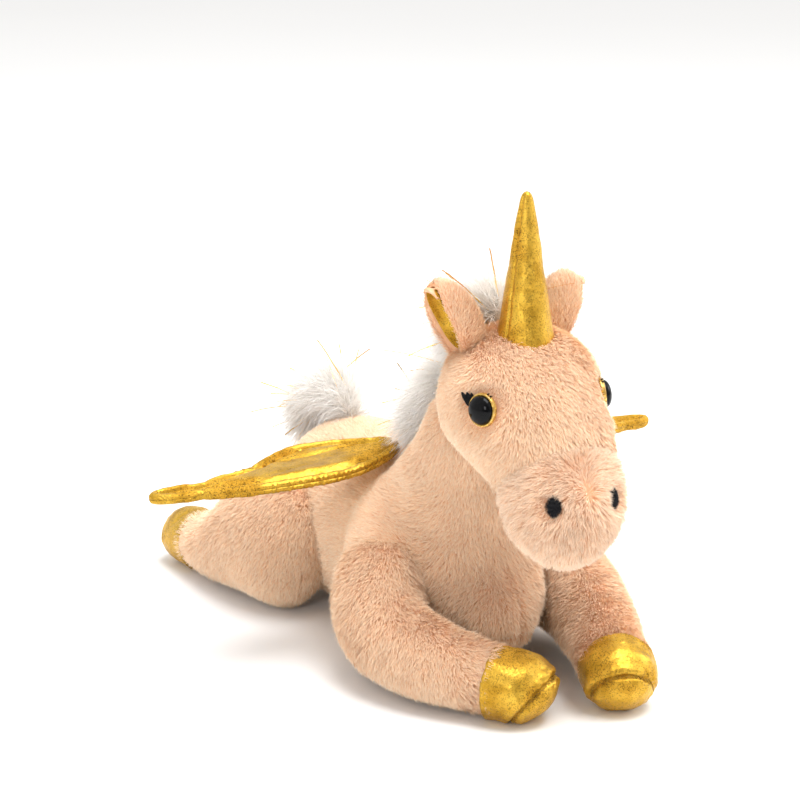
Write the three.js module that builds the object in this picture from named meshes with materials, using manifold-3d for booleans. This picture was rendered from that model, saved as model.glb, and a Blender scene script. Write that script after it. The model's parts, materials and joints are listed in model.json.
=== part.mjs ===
// A stuffed winged unicorn that lies on its belly with its forelegs stretched ahead.
// Millimetres, +Z up. The animal faces -Y, its right side is -X, and the floor is z = 0.
// Each limb is a sewn coat over a fibre filling, and turns about a point inside its root.
import * as THREE from "three";
import { mergeVertices } from "three/addons/utils/BufferGeometryUtils.js";
import Module from "manifold-3d";

const wasm = await Module();
wasm.setup();

// Driving dimensions.
const COAT = 4; // backing and packed pile of the plush
const LAME = 1.6; // metallic cloth with its lining
const GAP = 0.4; // between pieces that touch
const SOCKET = 3; // room left round a limb that turns in its socket
const FLOOR = 0;
const BELLY_SEAM = 15; // height of the seam round the belly panel
const LIMB_AROUND = 14; // facets round a limb
const LIMB_ALONG = 12; // rings along a limb
const BODY_AROUND = 18;
const BODY_ALONG = 12;
const FORE_SWING = 20; // degrees outward
const HIND_SWING = 18;
const NOD_UP = 14;
const NOD_DOWN = 10;
const TAIL_SWING = 20;
const FLAP_UP = 55;
const FLAP_DOWN = 6;
const EAR_BEND = 18;
const EAR_CLEARANCE = 2; // between the ear and the head as the ear bends

const HORN_HEIGHT = 78;
const HORN_RADIUS = 16.5;
const HORN_TIP = 2.6;
const EYE_RADIUS = 8.3;
const PUPIL_RADIUS = 6.3;
const STEM_RADIUS = 1.6;
const STEM_LENGTH = 13;
const WASHER_RADIUS = 6.5;

const FORE_HOOF = 33; // from the tip of a hoof back to its cuff
const HIND_HOOF = 40;
const HIND_INWARD = 4; // degrees that a hind leg can turn inwards
const WING_THICK = 8;
const WING_SPAN = 136;
const WING_FALL = 12; // how far the tip hangs below the root
const FAR = 400; // reach of a cutting block
const UP = [0, 0, 1];
const DOWN = [0, 0, -1];
const SIDES = [["right", -1], ["left", 1]];

const BODY_PIVOTS = {
  head: [0, -88, 132],
  tail: [0, 54, 96],
  foreleg: [42, -50, 38],
  hindleg: [44, 56, 40],
  wing: [18, -18, 105],
  ear: [25, -100, 176],
};

// ---------------------------------------------------------------- solids

function solidOf(geometry) {
  const bare = geometry.clone();
  bare.deleteAttribute("normal");
  bare.deleteAttribute("uv");
  const merged = mergeVertices(bare, 1e-4);
  const vertProperties = Float32Array.from(merged.attributes.position.array);
  const triVerts = Uint32Array.from(merged.index.array);
  return new wasm.Manifold(new wasm.Mesh({ numProp: 3, vertProperties, triVerts }));
}

function geometryOf(solid) {
  const { vertProperties, triVerts } = solid.getMesh();
  const geometry = new THREE.BufferGeometry();
  geometry.setAttribute("position", new THREE.BufferAttribute(vertProperties, 3));
  geometry.setIndex(new THREE.BufferAttribute(triVerts, 1));
  geometry.computeVertexNormals();
  return geometry;
}

function joined(solids) {
  return solids.reduce((whole, next) => whole.add(next));
}

// A block that fills everything on the side of `point` that `normal` points to.
function beyond(point, normal) {
  const block = new THREE.BoxGeometry(FAR, FAR, FAR).translate(0, 0, FAR / 2);
  const way = new THREE.Vector3(...normal).normalize();
  block.applyQuaternion(new THREE.Quaternion().setFromUnitVectors(new THREE.Vector3(...UP), way));
  return solidOf(block.translate(...point));
}

// The space that a shape passes through as it turns about an axis through a point.
function swept(geometry, pivot, axis, degrees) {
  const line = new THREE.Vector3(...axis);
  const turns = degrees.map((angle) => {
    const turn = new THREE.Matrix4()
      .makeTranslation(...pivot)
      .multiply(new THREE.Matrix4().makeRotationAxis(line, THREE.MathUtils.degToRad(angle)))
      .multiply(new THREE.Matrix4().makeTranslation(...pivot.map((v) => -v)));
    return solidOf(geometry.clone().applyMatrix4(turn));
  });
  return joined(turns);
}

function steps(from, to, count = 4) {
  return Array.from({ length: count + 1 }, (_, i) => from + ((to - from) * i) / count);
}

// The mirror image across x = 0, with its faces turned to point out again.
function reflected(geometry) {
  const place = (geometry.index ? geometry.toNonIndexed() : geometry).attributes.position;
  const triangles = [];
  for (let i = 0; i < place.count; i += 3) {
    for (const j of [i, i + 2, i + 1]) triangles.push(-place.getX(j), place.getY(j), place.getZ(j));
  }
  return new THREE.BufferGeometry().setAttribute("position", new THREE.Float32BufferAttribute(triangles, 3));
}

// A stuffed form: a sphere drawn out along a smooth path through the stations. Each inner
// station gives the half width and half height there, and the two end stations are the poles.
// `grow` moves the whole surface outwards, or inwards where it is negative.
function form(stations, { grow = 0, around = LIMB_AROUND, along = LIMB_ALONG, sideways = [1, 0, 0] } = {}) {
  const points = stations.map((s) => new THREE.Vector3(...s.at));
  const last = points.length - 1;
  const out = (from, to) => to.clone().sub(from).normalize().multiplyScalar(grow);
  points[0].add(out(points[1], points[0]));
  points[last].add(out(points[last - 1], points[last]));
  const path = new THREE.CatmullRomCurve3(points, false, "centripetal");
  const fullness = stations.map((s, i) => {
    const near = Math.min(Math.max(i, 1), last - 1);
    const t = near / last;
    const [w, h] = stations[near].half;
    const ellipse = Math.sqrt(4 * t * (1 - t));
    return new THREE.Vector3((w + grow) / ellipse, (h + grow) / ellipse, 0);
  });
  const girth = new THREE.CatmullRomCurve3(fullness);
  const ball = new THREE.SphereGeometry(1, around, along);
  const place = ball.attributes.position;
  const side = new THREE.Vector3(...sideways);
  const p = new THREE.Vector3();
  for (let i = 0; i < place.count; i += 1) {
    p.fromBufferAttribute(place, i);
    const t = THREE.MathUtils.clamp((1 + p.y) / 2, 0, 1);
    const tangent = path.getTangent(t);
    const across = side.clone().addScaledVector(tangent, -side.dot(tangent)).normalize();
    const rise = new THREE.Vector3().crossVectors(across, tangent);
    const { x: w, y: h } = girth.getPoint(t);
    const centre = path.getPoint(t);
    centre.addScaledVector(across, p.x * w).addScaledVector(rise, p.z * h);
    place.setXYZ(i, centre.x, centre.y, centre.z);
  }
  return ball;
}

function ellipsoid(halves, centre, turn = [0, 0, 0], around = LIMB_AROUND, along = LIMB_ALONG) {
  const ball = new THREE.SphereGeometry(1, around, along).scale(...halves);
  ball.applyMatrix4(new THREE.Matrix4().makeRotationFromEuler(new THREE.Euler(...turn)));
  return ball.translate(...centre);
}

// A round piece turned about the +Z axis, then pointed along `axis` from `place`.
function pointed(geometry, place, axis) {
  const way = new THREE.Vector3(...axis).normalize();
  const turn = new THREE.Quaternion().setFromUnitVectors(new THREE.Vector3(...UP), way);
  return geometry.applyQuaternion(turn).translate(...place);
}

function lathe(profile, segments) {
  const outline = profile.map(([r, z]) => new THREE.Vector2(r, z));
  return new THREE.LatheGeometry(outline, segments).rotateX(Math.PI / 2);
}

function rod(radius, low, high, segments = 16) {
  return lathe([[0, low], [radius, low], [radius, high], [0, high]], segments);
}

// ---------------------------------------------------------------- outer forms

const torsoStations = [
  { at: [0, -101, 50] },
  { at: [0, -74, 54], half: [45, 47] },
  { at: [0, -36, 53], half: [50, 53] },
  { at: [0, 2, 50], half: [47, 52] },
  { at: [0, 42, 49], half: [50, 54] },
  { at: [0, 72, 48], half: [44, 47] },
  { at: [0, 96, 46] },
];

const neckStations = [
  { at: [0, -50, 48] },
  { at: [0, -62, 84], half: [40, 37] },
  { at: [0, -76, 112], half: [36, 33] },
  { at: [0, -90, 138], half: [33, 29] },
  { at: [0, -98, 158] },
];

// The head hangs forward and down from the poll to the muzzle.
const headStations = [
  { at: [0, -74, 163] },
  { at: [0, -102, 152], half: [41, 33] },
  { at: [0, -126, 139], half: [44.5, 34] },
  { at: [-1, -148, 116], half: [36, 29] },
  { at: [-2, -158, 97], half: [35, 29] },
  { at: [-3, -166, 74] },
];

// The forelegs bend outwards at the elbow and come together at the hoofs. The left one
// reaches a little further ahead, so that the two hoofs lie side by side.
const forelegStations = {
  right: [
    { at: [-32, -22, 46] },
    { at: [-44, -50, 42], half: [26, 35] },
    { at: [-58, -80, 30], half: [24, 30] },
    { at: [-54, -109, 24], half: [23, 24] },
    { at: [-39, -137, 20], half: [21, 21] },
    { at: [-21, -159, 18], half: [20, 18] },
    { at: [-13, -171, 16] },
  ],
  left: [
    { at: [32, -22, 46] },
    { at: [44, -52, 42], half: [26, 35] },
    { at: [54, -84, 31], half: [24, 30] },
    { at: [46, -116, 25], half: [24, 24] },
    { at: [34, -146, 21], half: [21, 21] },
    { at: [23, -172, 18], half: [20, 18] },
    { at: [17, -186, 16] },
  ],
};

const hindlegStations = [
  { at: [40, 20, 48] },
  { at: [48, 48, 40], half: [29, 42] },
  { at: [55, 76, 31], half: [26, 33] },
  { at: [60, 102, 21], half: [21, 23] },
  { at: [61, 126, 18], half: [19, 19] },
  { at: [61, 147, 17], half: [18, 17] },
  { at: [61, 159, 15] },
];

const tailStations = [
  { at: [0, 52, 88] },
  { at: [0, 63, 104], half: [12, 11] },
  { at: [0, 80, 109], half: [18, 14] },
  { at: [0, 98, 96], half: [16, 12] },
  { at: [0, 110, 72] },
];

// Stations drawn on the left side, taken to the right side (-1) or left alone (+1).
function sided(stations, side) {
  return stations.map((s) => ({ at: [side * s.at[0], s.at[1], s.at[2]], half: s.half }));
}

const body = { around: BODY_AROUND, along: BODY_ALONG };
const torsoForm = (grow) => solidOf(form(torsoStations, { grow, ...body }));
const neckForm = (grow) => solidOf(form(neckStations, { grow, around: 14, along: 10 }));
const headGeometry = (grow) => form(headStations, { grow, around: 20, along: BODY_ALONG });
const belowFloor = beyond([0, 0, FLOOR], DOWN);

function trunk(grow) {
  return torsoForm(grow).add(neckForm(grow));
}

// ---------------------------------------------------------------- materials

function finish(colour, roughness, metalness = 0) {
  return () => new THREE.MeshStandardMaterial({ color: colour, roughness, metalness });
}

const plush = finish(0xf0c0a0, 0.95);
const palePlush = finish(0xf4ccb0, 0.95);
const fibre = finish(0xf2f0ea, 1);
const gold = finish(0xd9a51c, 0.35, 0.9);
const black = finish(0x0a0a0c, 0.15);
const whiteFur = finish(0xf6f0ea, 0.95);
const plastic = finish(0xe8e8e6, 0.5);

const unicorn = new THREE.Group();

function bodyGroup(pivot) {
  const group = new THREE.Group();
  group.position.set(...pivot);
  unicorn.add(group);
  return group;
}

// One named piece, stored about its group's pivot.
function addPiece(group, name, solid, material) {
  const { x, y, z } = group.position;
  const mesh = new THREE.Mesh(geometryOf(solid).translate(-x, -y, -z), material());
  mesh.name = name;
  group.add(mesh);
}

// ---------------------------------------------------------------- head parts

const headPivot = BODY_PIVOTS.head;
const faceYaw = THREE.MathUtils.degToRad(-3);
const EYE_TURN = 60; // degrees between straight ahead and the way an eye looks
const EYE_HEIGHT = 149;
const MUZZLE_SEAM = [-2, -140, 128];
const MUZZLE_NORMAL = [-0.03, -0.62, -0.78];

function aheadTurned(degrees) {
  const angle = THREE.MathUtils.degToRad(degrees) + faceYaw;
  return [Math.sin(angle), -Math.cos(angle), 0];
}

// Distance from a point outwards to the surface of a solid along a direction.
function surfacePoint(geometry, from, direction) {
  const mesh = new THREE.Mesh(geometry, new THREE.MeshBasicMaterial({ side: THREE.DoubleSide }));
  const ray = new THREE.Raycaster(new THREE.Vector3(...from), new THREE.Vector3(...direction).normalize());
  return ray.intersectObject(mesh)[0].point.toArray();
}

function along(point, direction, distance) {
  const d = new THREE.Vector3(...direction).normalize().multiplyScalar(distance);
  return [point[0] + d.x, point[1] + d.y, point[2] + d.z];
}

function eyeParts(side) {
  const look = aheadTurned(side * EYE_TURN);
  look[2] = 0.1;
  const skin = surfacePoint(headGeometry(0), [-1, -118, EYE_HEIGHT], look);
  const seat = along(skin, look, -1.8);
  const pocketLow = -STEM_LENGTH - 1;
  return {
    look,
    seat,
    iris: pointed(
      lathe([[STEM_RADIUS + GAP, GAP], [EYE_RADIUS, GAP], [EYE_RADIUS, 1.6], [7.2, 2.6],
        [STEM_RADIUS + GAP, 2.6], [STEM_RADIUS + GAP, GAP]], 28), seat, look),
    pupil: pointed(
      lathe([[0, -STEM_LENGTH], [STEM_RADIUS, -STEM_LENGTH], [STEM_RADIUS, 3], [PUPIL_RADIUS, 3],
        [6, 4.2], [4.9, 5.4], [2.7, 6.3], [0, 6.7]], 28), seat, look),
    washer: pointed(
      lathe([[STEM_RADIUS + GAP, -9], [WASHER_RADIUS, -9], [WASHER_RADIUS, -7.4], [STEM_RADIUS + GAP, -7.4],
        [STEM_RADIUS + GAP, -9]], 20), seat, look),
    clearSeat: solidOf(pointed(rod(EYE_RADIUS + GAP, 0, 14, 28), [...seat], look)),
    clearStem: solidOf(pointed(rod(STEM_RADIUS + GAP, pocketLow, 1, 12), [...seat], look)),
    clearWasher: solidOf(pointed(rod(WASHER_RADIUS + GAP, pocketLow, -7, 20), [...seat], look)),
  };
}

// A thin patch that lies on the head: an outline pushed onto the surface along a direction.
function patch(outline, place, direction, thickness) {
  const prism = new THREE.ExtrudeGeometry(outline, { depth: 20, bevelEnabled: false, curveSegments: 5 });
  prism.translate(0, 0, -10);
  const turned = new THREE.Matrix4().lookAt(
    new THREE.Vector3(...direction), new THREE.Vector3(), new THREE.Vector3(0, 0, 1));
  prism.applyMatrix4(turned).translate(...place);
  return solidOf(prism)
    .intersect(solidOf(headGeometry(GAP + thickness)))
    .subtract(solidOf(headGeometry(GAP)));
}

function nostrilOutline() {
  const shape = new THREE.Shape();
  shape.absellipse(0, 0, 3.6, 5.6, 0, Math.PI * 2);
  return shape;
}

// A lash: a pointed wedge that starts at the rim of the eye and sweeps up and back.
function lashOutline(side) {
  const shape = new THREE.Shape();
  const angle = (degrees, radius) => {
    const a = THREE.MathUtils.degToRad(degrees);
    return [-side * Math.cos(a) * radius, Math.sin(a) * radius];
  };
  shape.moveTo(...angle(128, 8.9));
  shape.lineTo(...angle(152, 13.6));
  shape.lineTo(...angle(158, 8.9));
  shape.closePath();
  return shape;
}

// ---------------------------------------------------------------- head

const head = bodyGroup(headPivot);
const eyes = [
  { word: "right", side: -1, ...eyeParts(-1) },
  { word: "left", side: 1, ...eyeParts(1) },
];

const HORN_FOOT = [-2, -120, 166];
const hornProfile = (inset) => [
  [0, inset * 3],
  [HORN_RADIUS - inset, inset * 3],
  [HORN_TIP - inset * 0.6, HORN_HEIGHT + 6 - inset * 3],
  [(HORN_TIP - inset * 0.6) * 0.7, HORN_HEIGHT + 8 - inset * 3],
  [0, HORN_HEIGHT + 9 - inset * 3],
];
const hornOuter = solidOf(lathe(hornProfile(0), 24).translate(...HORN_FOOT));
const hornBore = (inset) => {
  const profile = [[0, -5], [HORN_RADIUS - inset, -5], ...hornProfile(inset).slice(1)];
  return solidOf(lathe(profile, 24).translate(...HORN_FOOT));
};
const hornInner = hornBore(LAME);
const hornCore = hornBore(LAME + GAP);
const headOuter = solidOf(headGeometry(0));
const headClear = solidOf(headGeometry(GAP));

function earParts(side) {
  const [x, y, z] = BODY_PIVOTS.ear;
  const base = [side * x, y, z];
  const tilt = [0, side * 0.22, side * 0.26]; // leans outwards and opens to the side
  const centre = along(base, [side * 0.22, 0, 1], 11);
  const leaf = ellipsoid([16, 12.5, 22], centre, tilt, 14, 10);
  const cupCentre = along(centre, [side, 0.26, 0.1], 8);
  const cup = (inset) => ellipsoid([15 - inset, 10 - inset, 19 - inset], cupCentre, tilt, 14, 10);
  const root = along(base, [side * 0.3, 0, 1], 2);
  const foot = ellipsoid([11, 12, 12], root, tilt, 12, 8);
  return { base, leaf, cup, foot };
}

const ears = [
  { word: "right", side: -1, ...earParts(-1) },
  { word: "left", side: 1, ...earParts(1) },
];

const EAR_AXIS = [0, 1, 0];

let headShell = headOuter.subtract(solidOf(headGeometry(-COAT)));
let headFill = solidOf(headGeometry(-COAT - GAP));
for (const eye of eyes) {
  headShell = headShell.subtract(eye.clearSeat).subtract(eye.clearStem);
  headFill = headFill.subtract(eye.clearSeat).subtract(eye.clearStem).subtract(eye.clearWasher);
}
const earRoom = ears.map((ear) => {
  const whole = [ear.leaf, ear.foot];
  const angles = steps(-EAR_BEND, EAR_BEND);
  return joined(whole.map((g) => swept(g, ear.base, EAR_AXIS, angles)));
});
const muzzleSide = beyond(MUZZLE_SEAM, MUZZLE_NORMAL);
const muzzleClear = beyond(along(MUZZLE_SEAM, MUZZLE_NORMAL, -GAP), MUZZLE_NORMAL);

addPiece(head, "head_coat", headShell.subtract(muzzleClear), plush);
addPiece(head, "muzzle_coat", headShell.intersect(muzzleSide), palePlush);
addPiece(head, "head_filling", headFill, fibre);
addPiece(head, "horn_cover", hornOuter.subtract(hornInner).subtract(headClear), gold);
addPiece(head, "horn_filling", hornCore.subtract(headClear), fibre);

for (const eye of eyes) {
  addPiece(head, `eye_iris_${eye.word}`, solidOf(eye.iris), gold);
  addPiece(head, `eye_pupil_${eye.word}`, solidOf(eye.pupil), black);
  addPiece(head, `eye_washer_${eye.word}`, solidOf(eye.washer), plastic);
  const lash = patch(lashOutline(eye.side), eye.seat, eye.look, 1.1).subtract(eye.clearSeat);
  addPiece(head, `eyelash_${eye.word}`, lash, black);
}

for (const side of [-1, 1]) {
  const way = aheadTurned(side * 38);
  way[2] = 0.18;
  const spot = surfacePoint(headGeometry(0), [-3, -156, 104], way);
  const nostril = patch(nostrilOutline(), spot, way, 1.1);
  addPiece(head, side < 0 ? "nostril_right" : "nostril_left", nostril, black);
}

// ---------------------------------------------------------------- ears

for (const [i, ear] of ears.entries()) {
  const group = bodyGroup(ear.base);
  const blade = solidOf(ear.leaf).add(solidOf(ear.foot));
  const back = blade.subtract(solidOf(ear.cup(0)));
  const socket = swept(headGeometry(EAR_CLEARANCE), ear.base, EAR_AXIS, steps(-EAR_BEND, EAR_BEND));
  const lining = solidOf(ear.cup(GAP)).intersect(solidOf(ear.leaf)).subtract(
    solidOf(ear.cup(GAP + LAME)));
  addPiece(group, `ear_back_${ear.word}`, back.subtract(socket), plush);
  addPiece(group, `ear_lining_${ear.word}`, lining.subtract(socket), gold);
}

// ---------------------------------------------------------------- mane

const crestStations = [
  { at: [0, -97, 182] },
  { at: [0, -87, 189], half: [14, 9] },
  { at: [0, -74, 181], half: [14, 10] },
  { at: [0, -64, 164] },
];

const napeStations = [
  { at: [0, -54, 156] },
  { at: [0, -50, 144], half: [13, 10] },
  { at: [0, -38, 120], half: [14, 11] },
  { at: [0, -22, 104] },
];

const crestClear = joined([headClear, ...earRoom]);
const crest = solidOf(form(crestStations, { along: 10 })).subtract(crestClear);
addPiece(head, "mane_crest", crest, whiteFur);

// ---------------------------------------------------------------- limbs

const limbRoom = [];

// The coat, its filling and the two parts of the hoof for one leg.
function addLimb(word, side, kind) {
  const fore = kind === "foreleg";
  const stations = fore ? forelegStations[word] : sided(hindlegStations, side);
  const [x, y, z] = BODY_PIVOTS[kind];
  const pivot = [side * x, y, z];
  const axis = [0, 0, fore ? side : -side];
  const range = fore ? [0, FORE_SWING] : [-HIND_INWARD, HIND_SWING];
  const shape = (grow) => form(stations, { grow });
  const above = (height) => beyond([0, 0, height], UP);

  const toe = stations.at(-1).at;
  const ankle = stations.at(-3).at;
  const way = [toe[0] - ankle[0], toe[1] - ankle[1], 0];
  const cuff = along(toe, way, fore ? -FORE_HOOF : -HIND_HOOF);
  const outer = solidOf(shape(0)).intersect(above(FLOOR));
  const inner = solidOf(shape(-COAT)).intersect(above(COAT));
  const hoofInner = solidOf(shape(-LAME)).intersect(above(LAME));
  const hoof = outer.subtract(hoofInner).intersect(beyond(along(cuff, way, GAP), way));

  const soleAt = along(toe, way, fore ? -12 : -7);
  soleAt[2] = 13;
  const soleWay = new THREE.Vector3(...way).normalize().setZ(fore ? -0.8 : -0.4).toArray();
  const filling = solidOf(shape(-COAT - GAP)).intersect(above(COAT + GAP));

  limbRoom.push(swept(shape(SOCKET), pivot, axis, steps(...range, 2)));
  const group = bodyGroup(pivot);
  addPiece(group, `${kind}_coat_${word}`, outer.subtract(inner).subtract(beyond(cuff, way)), plush);
  addPiece(group, `${kind}_filling_${word}`, filling, fibre);
  const upper = hoof.subtract(beyond(along(soleAt, soleWay, -GAP), soleWay));
  const sole = hoof.intersect(beyond(soleAt, soleWay));
  addPiece(group, `hoof_upper_${kind}_${word}`, upper, gold);
  addPiece(group, `hoof_sole_${kind}_${word}`, sole, gold);
}

for (const [word, side] of SIDES) {
  addLimb(word, side, "foreleg");
  addLimb(word, side, "hindleg");
}

// ---------------------------------------------------------------- tail

const tailGroup = bodyGroup(BODY_PIVOTS.tail);
addPiece(tailGroup, "tail_tuft", solidOf(form(tailStations)), whiteFur);

// ---------------------------------------------------------------- wings

// The outline in the wing's own plane: x outwards from the root, y towards the tail.
function wingOutline(inset) {
  const low = (y) => y + inset;
  const high = (y) => y - inset;
  const shape = new THREE.Shape();
  shape.moveTo(inset, low(-9));
  shape.quadraticCurveTo(24, low(-33), 56, low(-26));
  shape.quadraticCurveTo(92, low(-20), 112, low(-5));
  shape.quadraticCurveTo(134 - inset, low(0), WING_SPAN - inset, 8);
  shape.quadraticCurveTo(134 - inset, high(15), 118, high(12));
  shape.quadraticCurveTo(112, high(10), 106, high(8));
  shape.quadraticCurveTo(96, high(15), 76, high(14));
  shape.quadraticCurveTo(66, high(22), 48, high(26));
  shape.quadraticCurveTo(24, high(24), 8, high(10));
  shape.quadraticCurveTo(inset, high(6), inset, 2);
  shape.closePath();
  return shape;
}

// A flat slab of the outline between two heights, hung from the wing's root.
function wingSlab(inset, low, high, side) {
  const slab = new THREE.ExtrudeGeometry(wingOutline(inset), {
    depth: high - low, bevelEnabled: false, curveSegments: 4,
  });
  slab.translate(0, 0, low).rotateY(Math.atan2(WING_FALL, WING_SPAN)).translate(...BODY_PIVOTS.wing);
  return side > 0 ? slab : reflected(slab);
}

const wingRoom = [];
for (const [word, side] of SIDES) {
  const half = WING_THICK / 2;
  const [x, y, z] = BODY_PIVOTS.wing;
  const group = bodyGroup([side * x, y, z]);
  const slab = (inset, low, high) => solidOf(wingSlab(inset, low, high, side));
  const pocket = slab(3, -half + LAME, half - LAME);
  const wadding = slab(3 + GAP, -half + LAME + GAP, half - LAME - GAP);
  addPiece(group, `wing_upper_panel_${word}`, slab(0, GAP / 2, half).subtract(pocket), gold);
  addPiece(group, `wing_lower_panel_${word}`, slab(0, -half, -GAP / 2).subtract(pocket), gold);
  addPiece(group, `wing_wadding_${word}`, wadding, fibre);
  const roomy = new THREE.BoxGeometry(60, 74, WING_THICK + 2 * SOCKET)
    .translate(30 - SOCKET, 0, 0)
    .rotateY(Math.atan2(WING_FALL, WING_SPAN))
    .translate(x, y, z);
  const sidedRoom = side > 0 ? roomy : reflected(roomy);
  wingRoom.push(swept(sidedRoom, [side * x, y, z], [0, -side, 0], steps(-FLAP_DOWN, FLAP_UP, 3)));
}

// ---------------------------------------------------------------- trunk

const ACROSS = [1, 0, 0];
const crestShape = form(crestStations, { grow: SOCKET, along: 10 });
const nodAngles = steps(-NOD_UP, NOD_DOWN, 2);
const tailAngles = steps(-TAIL_SWING, TAIL_SWING, 2);
const headRoom = swept(headGeometry(SOCKET), headPivot, ACROSS, nodAngles);
const crestRoom = swept(crestShape, headPivot, ACROSS, nodAngles);
const tailRoom = swept(form(tailStations, { grow: SOCKET }), BODY_PIVOTS.tail, ACROSS, tailAngles);
const room = joined([headRoom, crestRoom, tailRoom, ...limbRoom, ...wingRoom]);

const trunkInner = trunk(-COAT).intersect(beyond([0, 0, COAT], UP));
const trunkShell = trunk(0).subtract(belowFloor).subtract(trunkInner).subtract(room);
const trunkFill = trunk(-COAT - GAP).intersect(beyond([0, 0, COAT + GAP], UP)).subtract(room);
const nape = solidOf(form(napeStations, { along: 10 })).subtract(trunk(GAP)).subtract(room);

addPiece(unicorn, "torso_coat", trunkShell.intersect(beyond([0, 0, BELLY_SEAM + GAP], UP)), plush);
addPiece(unicorn, "belly_panel", trunkShell.intersect(beyond([0, 0, BELLY_SEAM], DOWN)), palePlush);
addPiece(unicorn, "torso_filling", trunkFill, fibre);
addPiece(unicorn, "mane_nape", nape, whiteFur);

// The origin is the middle of the base of the whole animal's box.
const bounds = new THREE.Box3().setFromObject(unicorn);
const middle = bounds.getCenter(new THREE.Vector3());
unicorn.position.set(-middle.x, -middle.y, -bounds.min.z);

export default unicorn;
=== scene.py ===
"""A stuffed winged unicorn that lies on its belly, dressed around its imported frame.

Shapes are worked out in the maker's pattern frame, in millimetres, with +Z up and the
animal facing -Y, and are moved to the row frame, in metres, as they become meshes.
"""

from __future__ import annotations

import json
import logging
import math
import sys
from collections.abc import Callable, Sequence
from dataclasses import dataclass, field, replace
from enum import Enum
from itertools import product

import bmesh
import bpy
import numpy as np
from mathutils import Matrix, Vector


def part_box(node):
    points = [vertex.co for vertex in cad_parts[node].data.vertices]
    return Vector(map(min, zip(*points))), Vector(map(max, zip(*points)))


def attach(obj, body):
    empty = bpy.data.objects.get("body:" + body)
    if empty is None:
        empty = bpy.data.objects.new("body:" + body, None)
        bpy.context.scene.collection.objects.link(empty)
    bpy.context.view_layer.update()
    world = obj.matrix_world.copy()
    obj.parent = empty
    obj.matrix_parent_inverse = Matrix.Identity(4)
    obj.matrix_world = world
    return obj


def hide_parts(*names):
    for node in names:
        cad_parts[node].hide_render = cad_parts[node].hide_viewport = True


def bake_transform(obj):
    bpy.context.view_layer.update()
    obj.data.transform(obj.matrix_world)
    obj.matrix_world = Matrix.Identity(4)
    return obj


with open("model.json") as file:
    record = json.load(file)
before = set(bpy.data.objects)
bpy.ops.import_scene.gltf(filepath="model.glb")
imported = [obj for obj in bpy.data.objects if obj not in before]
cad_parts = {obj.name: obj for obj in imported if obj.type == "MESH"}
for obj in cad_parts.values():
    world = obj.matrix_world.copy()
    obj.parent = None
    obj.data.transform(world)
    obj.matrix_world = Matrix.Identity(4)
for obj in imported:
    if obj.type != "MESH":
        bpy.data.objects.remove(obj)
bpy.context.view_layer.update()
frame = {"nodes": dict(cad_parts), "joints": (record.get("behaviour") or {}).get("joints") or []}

Array = np.ndarray
Field = Callable[[Array], Array]
Colour = tuple[float, float, float, float]
log = logging.getLogger("unicorn")

MM = 0.001
HEAD_PIVOT = np.array([0.0, -88.0, 132.0])  # where the head nods, in the pattern frame
COVER_FLOOR = 1.2  # no cover goes below this height, in millimetres
PILE_FLOOR = 0.3  # nor any fibre below this one
HOOF_FLOOR = 0.15  # nor any hoof below this one
FIBRES_IN_PIECE = 99_000  # of two triangles each
REMESH_STEPS = ("SMOOTH", {"factor": 0.5, "iterations": 10})


def joint_place(name: str) -> Array:
    """The place of a joint of the frame, in metres.

    Args:
        name: The joint's name.

    Returns:
        Its point at rest in the row frame.
    """
    return np.array(next(j["pos_m"] for j in frame["joints"] if j["name"] == name))


ORIGIN = joint_place("head_nod") - HEAD_PIVOT * MM


def to_row(points: Array) -> Array:
    """Pattern millimetres to row metres."""
    return np.asarray(points) * MM + ORIGIN


def to_pattern(points: Array) -> Array:
    """Row metres to pattern millimetres."""
    return (np.asarray(points) - ORIGIN) / MM


def cad_centre(node: str) -> Array:
    """The middle of a CAD node's box, in pattern millimetres."""
    low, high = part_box(node)
    return to_pattern(np.array((low + high) / 2))


class Side(Enum):
    """The animal's own sides. Its right is towards -X."""

    RIGHT = -1
    LEFT = 1

    @property
    def word(self) -> str:
        """The side's name as the frame's nodes spell it."""
        return self.name.lower()


class Limb(Enum):
    """The two kinds of leg."""

    FORE = "foreleg"
    HIND = "hindleg"


# ---------------------------------------------------------------- numbers


def unit(vectors: Array) -> Array:
    """Vectors cut to a length of one."""
    length = np.linalg.norm(vectors, axis=-1, keepdims=True)
    return vectors / np.maximum(length, 1e-12)


def smooth(low: float, high: float, value: Array) -> Array:
    """The soft step 3s^2 - 2s^3, where s runs from 0 at low to 1 at high."""
    s = np.clip((value - low) / (high - low), 0, 1)
    return s * s * (3 - 2 * s)


def lattice(cells: Array, seed: int) -> Array:
    """A steady random number from 0 to 1 for each whole-number cell.

    The three indices are multiplied by large odd numbers, added, and stirred by
    shifts and multiplications.

    Args:
        cells: Whole numbers, the last axis of length 3.
        seed: Picks another set of numbers.

    Returns:
        One number per cell.
    """
    c = cells.astype(np.int64)
    h = c[..., 0] * 73856093 ^ c[..., 1] * 19349663 ^ c[..., 2] * 83492791 ^ seed * 2654435761
    h &= 0xFFFFFFFF
    for _ in range(2):
        h = ((h ^ (h >> 15)) * 0x2C1B3C6D) & 0xFFFFFFFF
        h ^= h >> 13
    return (h & 0xFFFFFF) / float(0xFFFFFF)


def noise(points: Array, size: float, seed: int) -> Array:
    """Smooth noise from -1 to 1: lattice numbers, blended between the eight corners.

    Args:
        points: Places in millimetres.
        size: The lattice's step in millimetres.
        seed: Picks another noise.

    Returns:
        One value per point.
    """
    p = points / size
    cell = np.floor(p)
    f = p - cell
    u = f * f * (3 - 2 * f)
    total = np.zeros(len(points))
    for corner in product((0, 1), repeat=3):
        c = np.array(corner)
        weight = np.prod(np.where(c == 1, u, 1 - u), axis=1)
        total += weight * lattice(cell + c, seed)
    return total * 2 - 1


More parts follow.
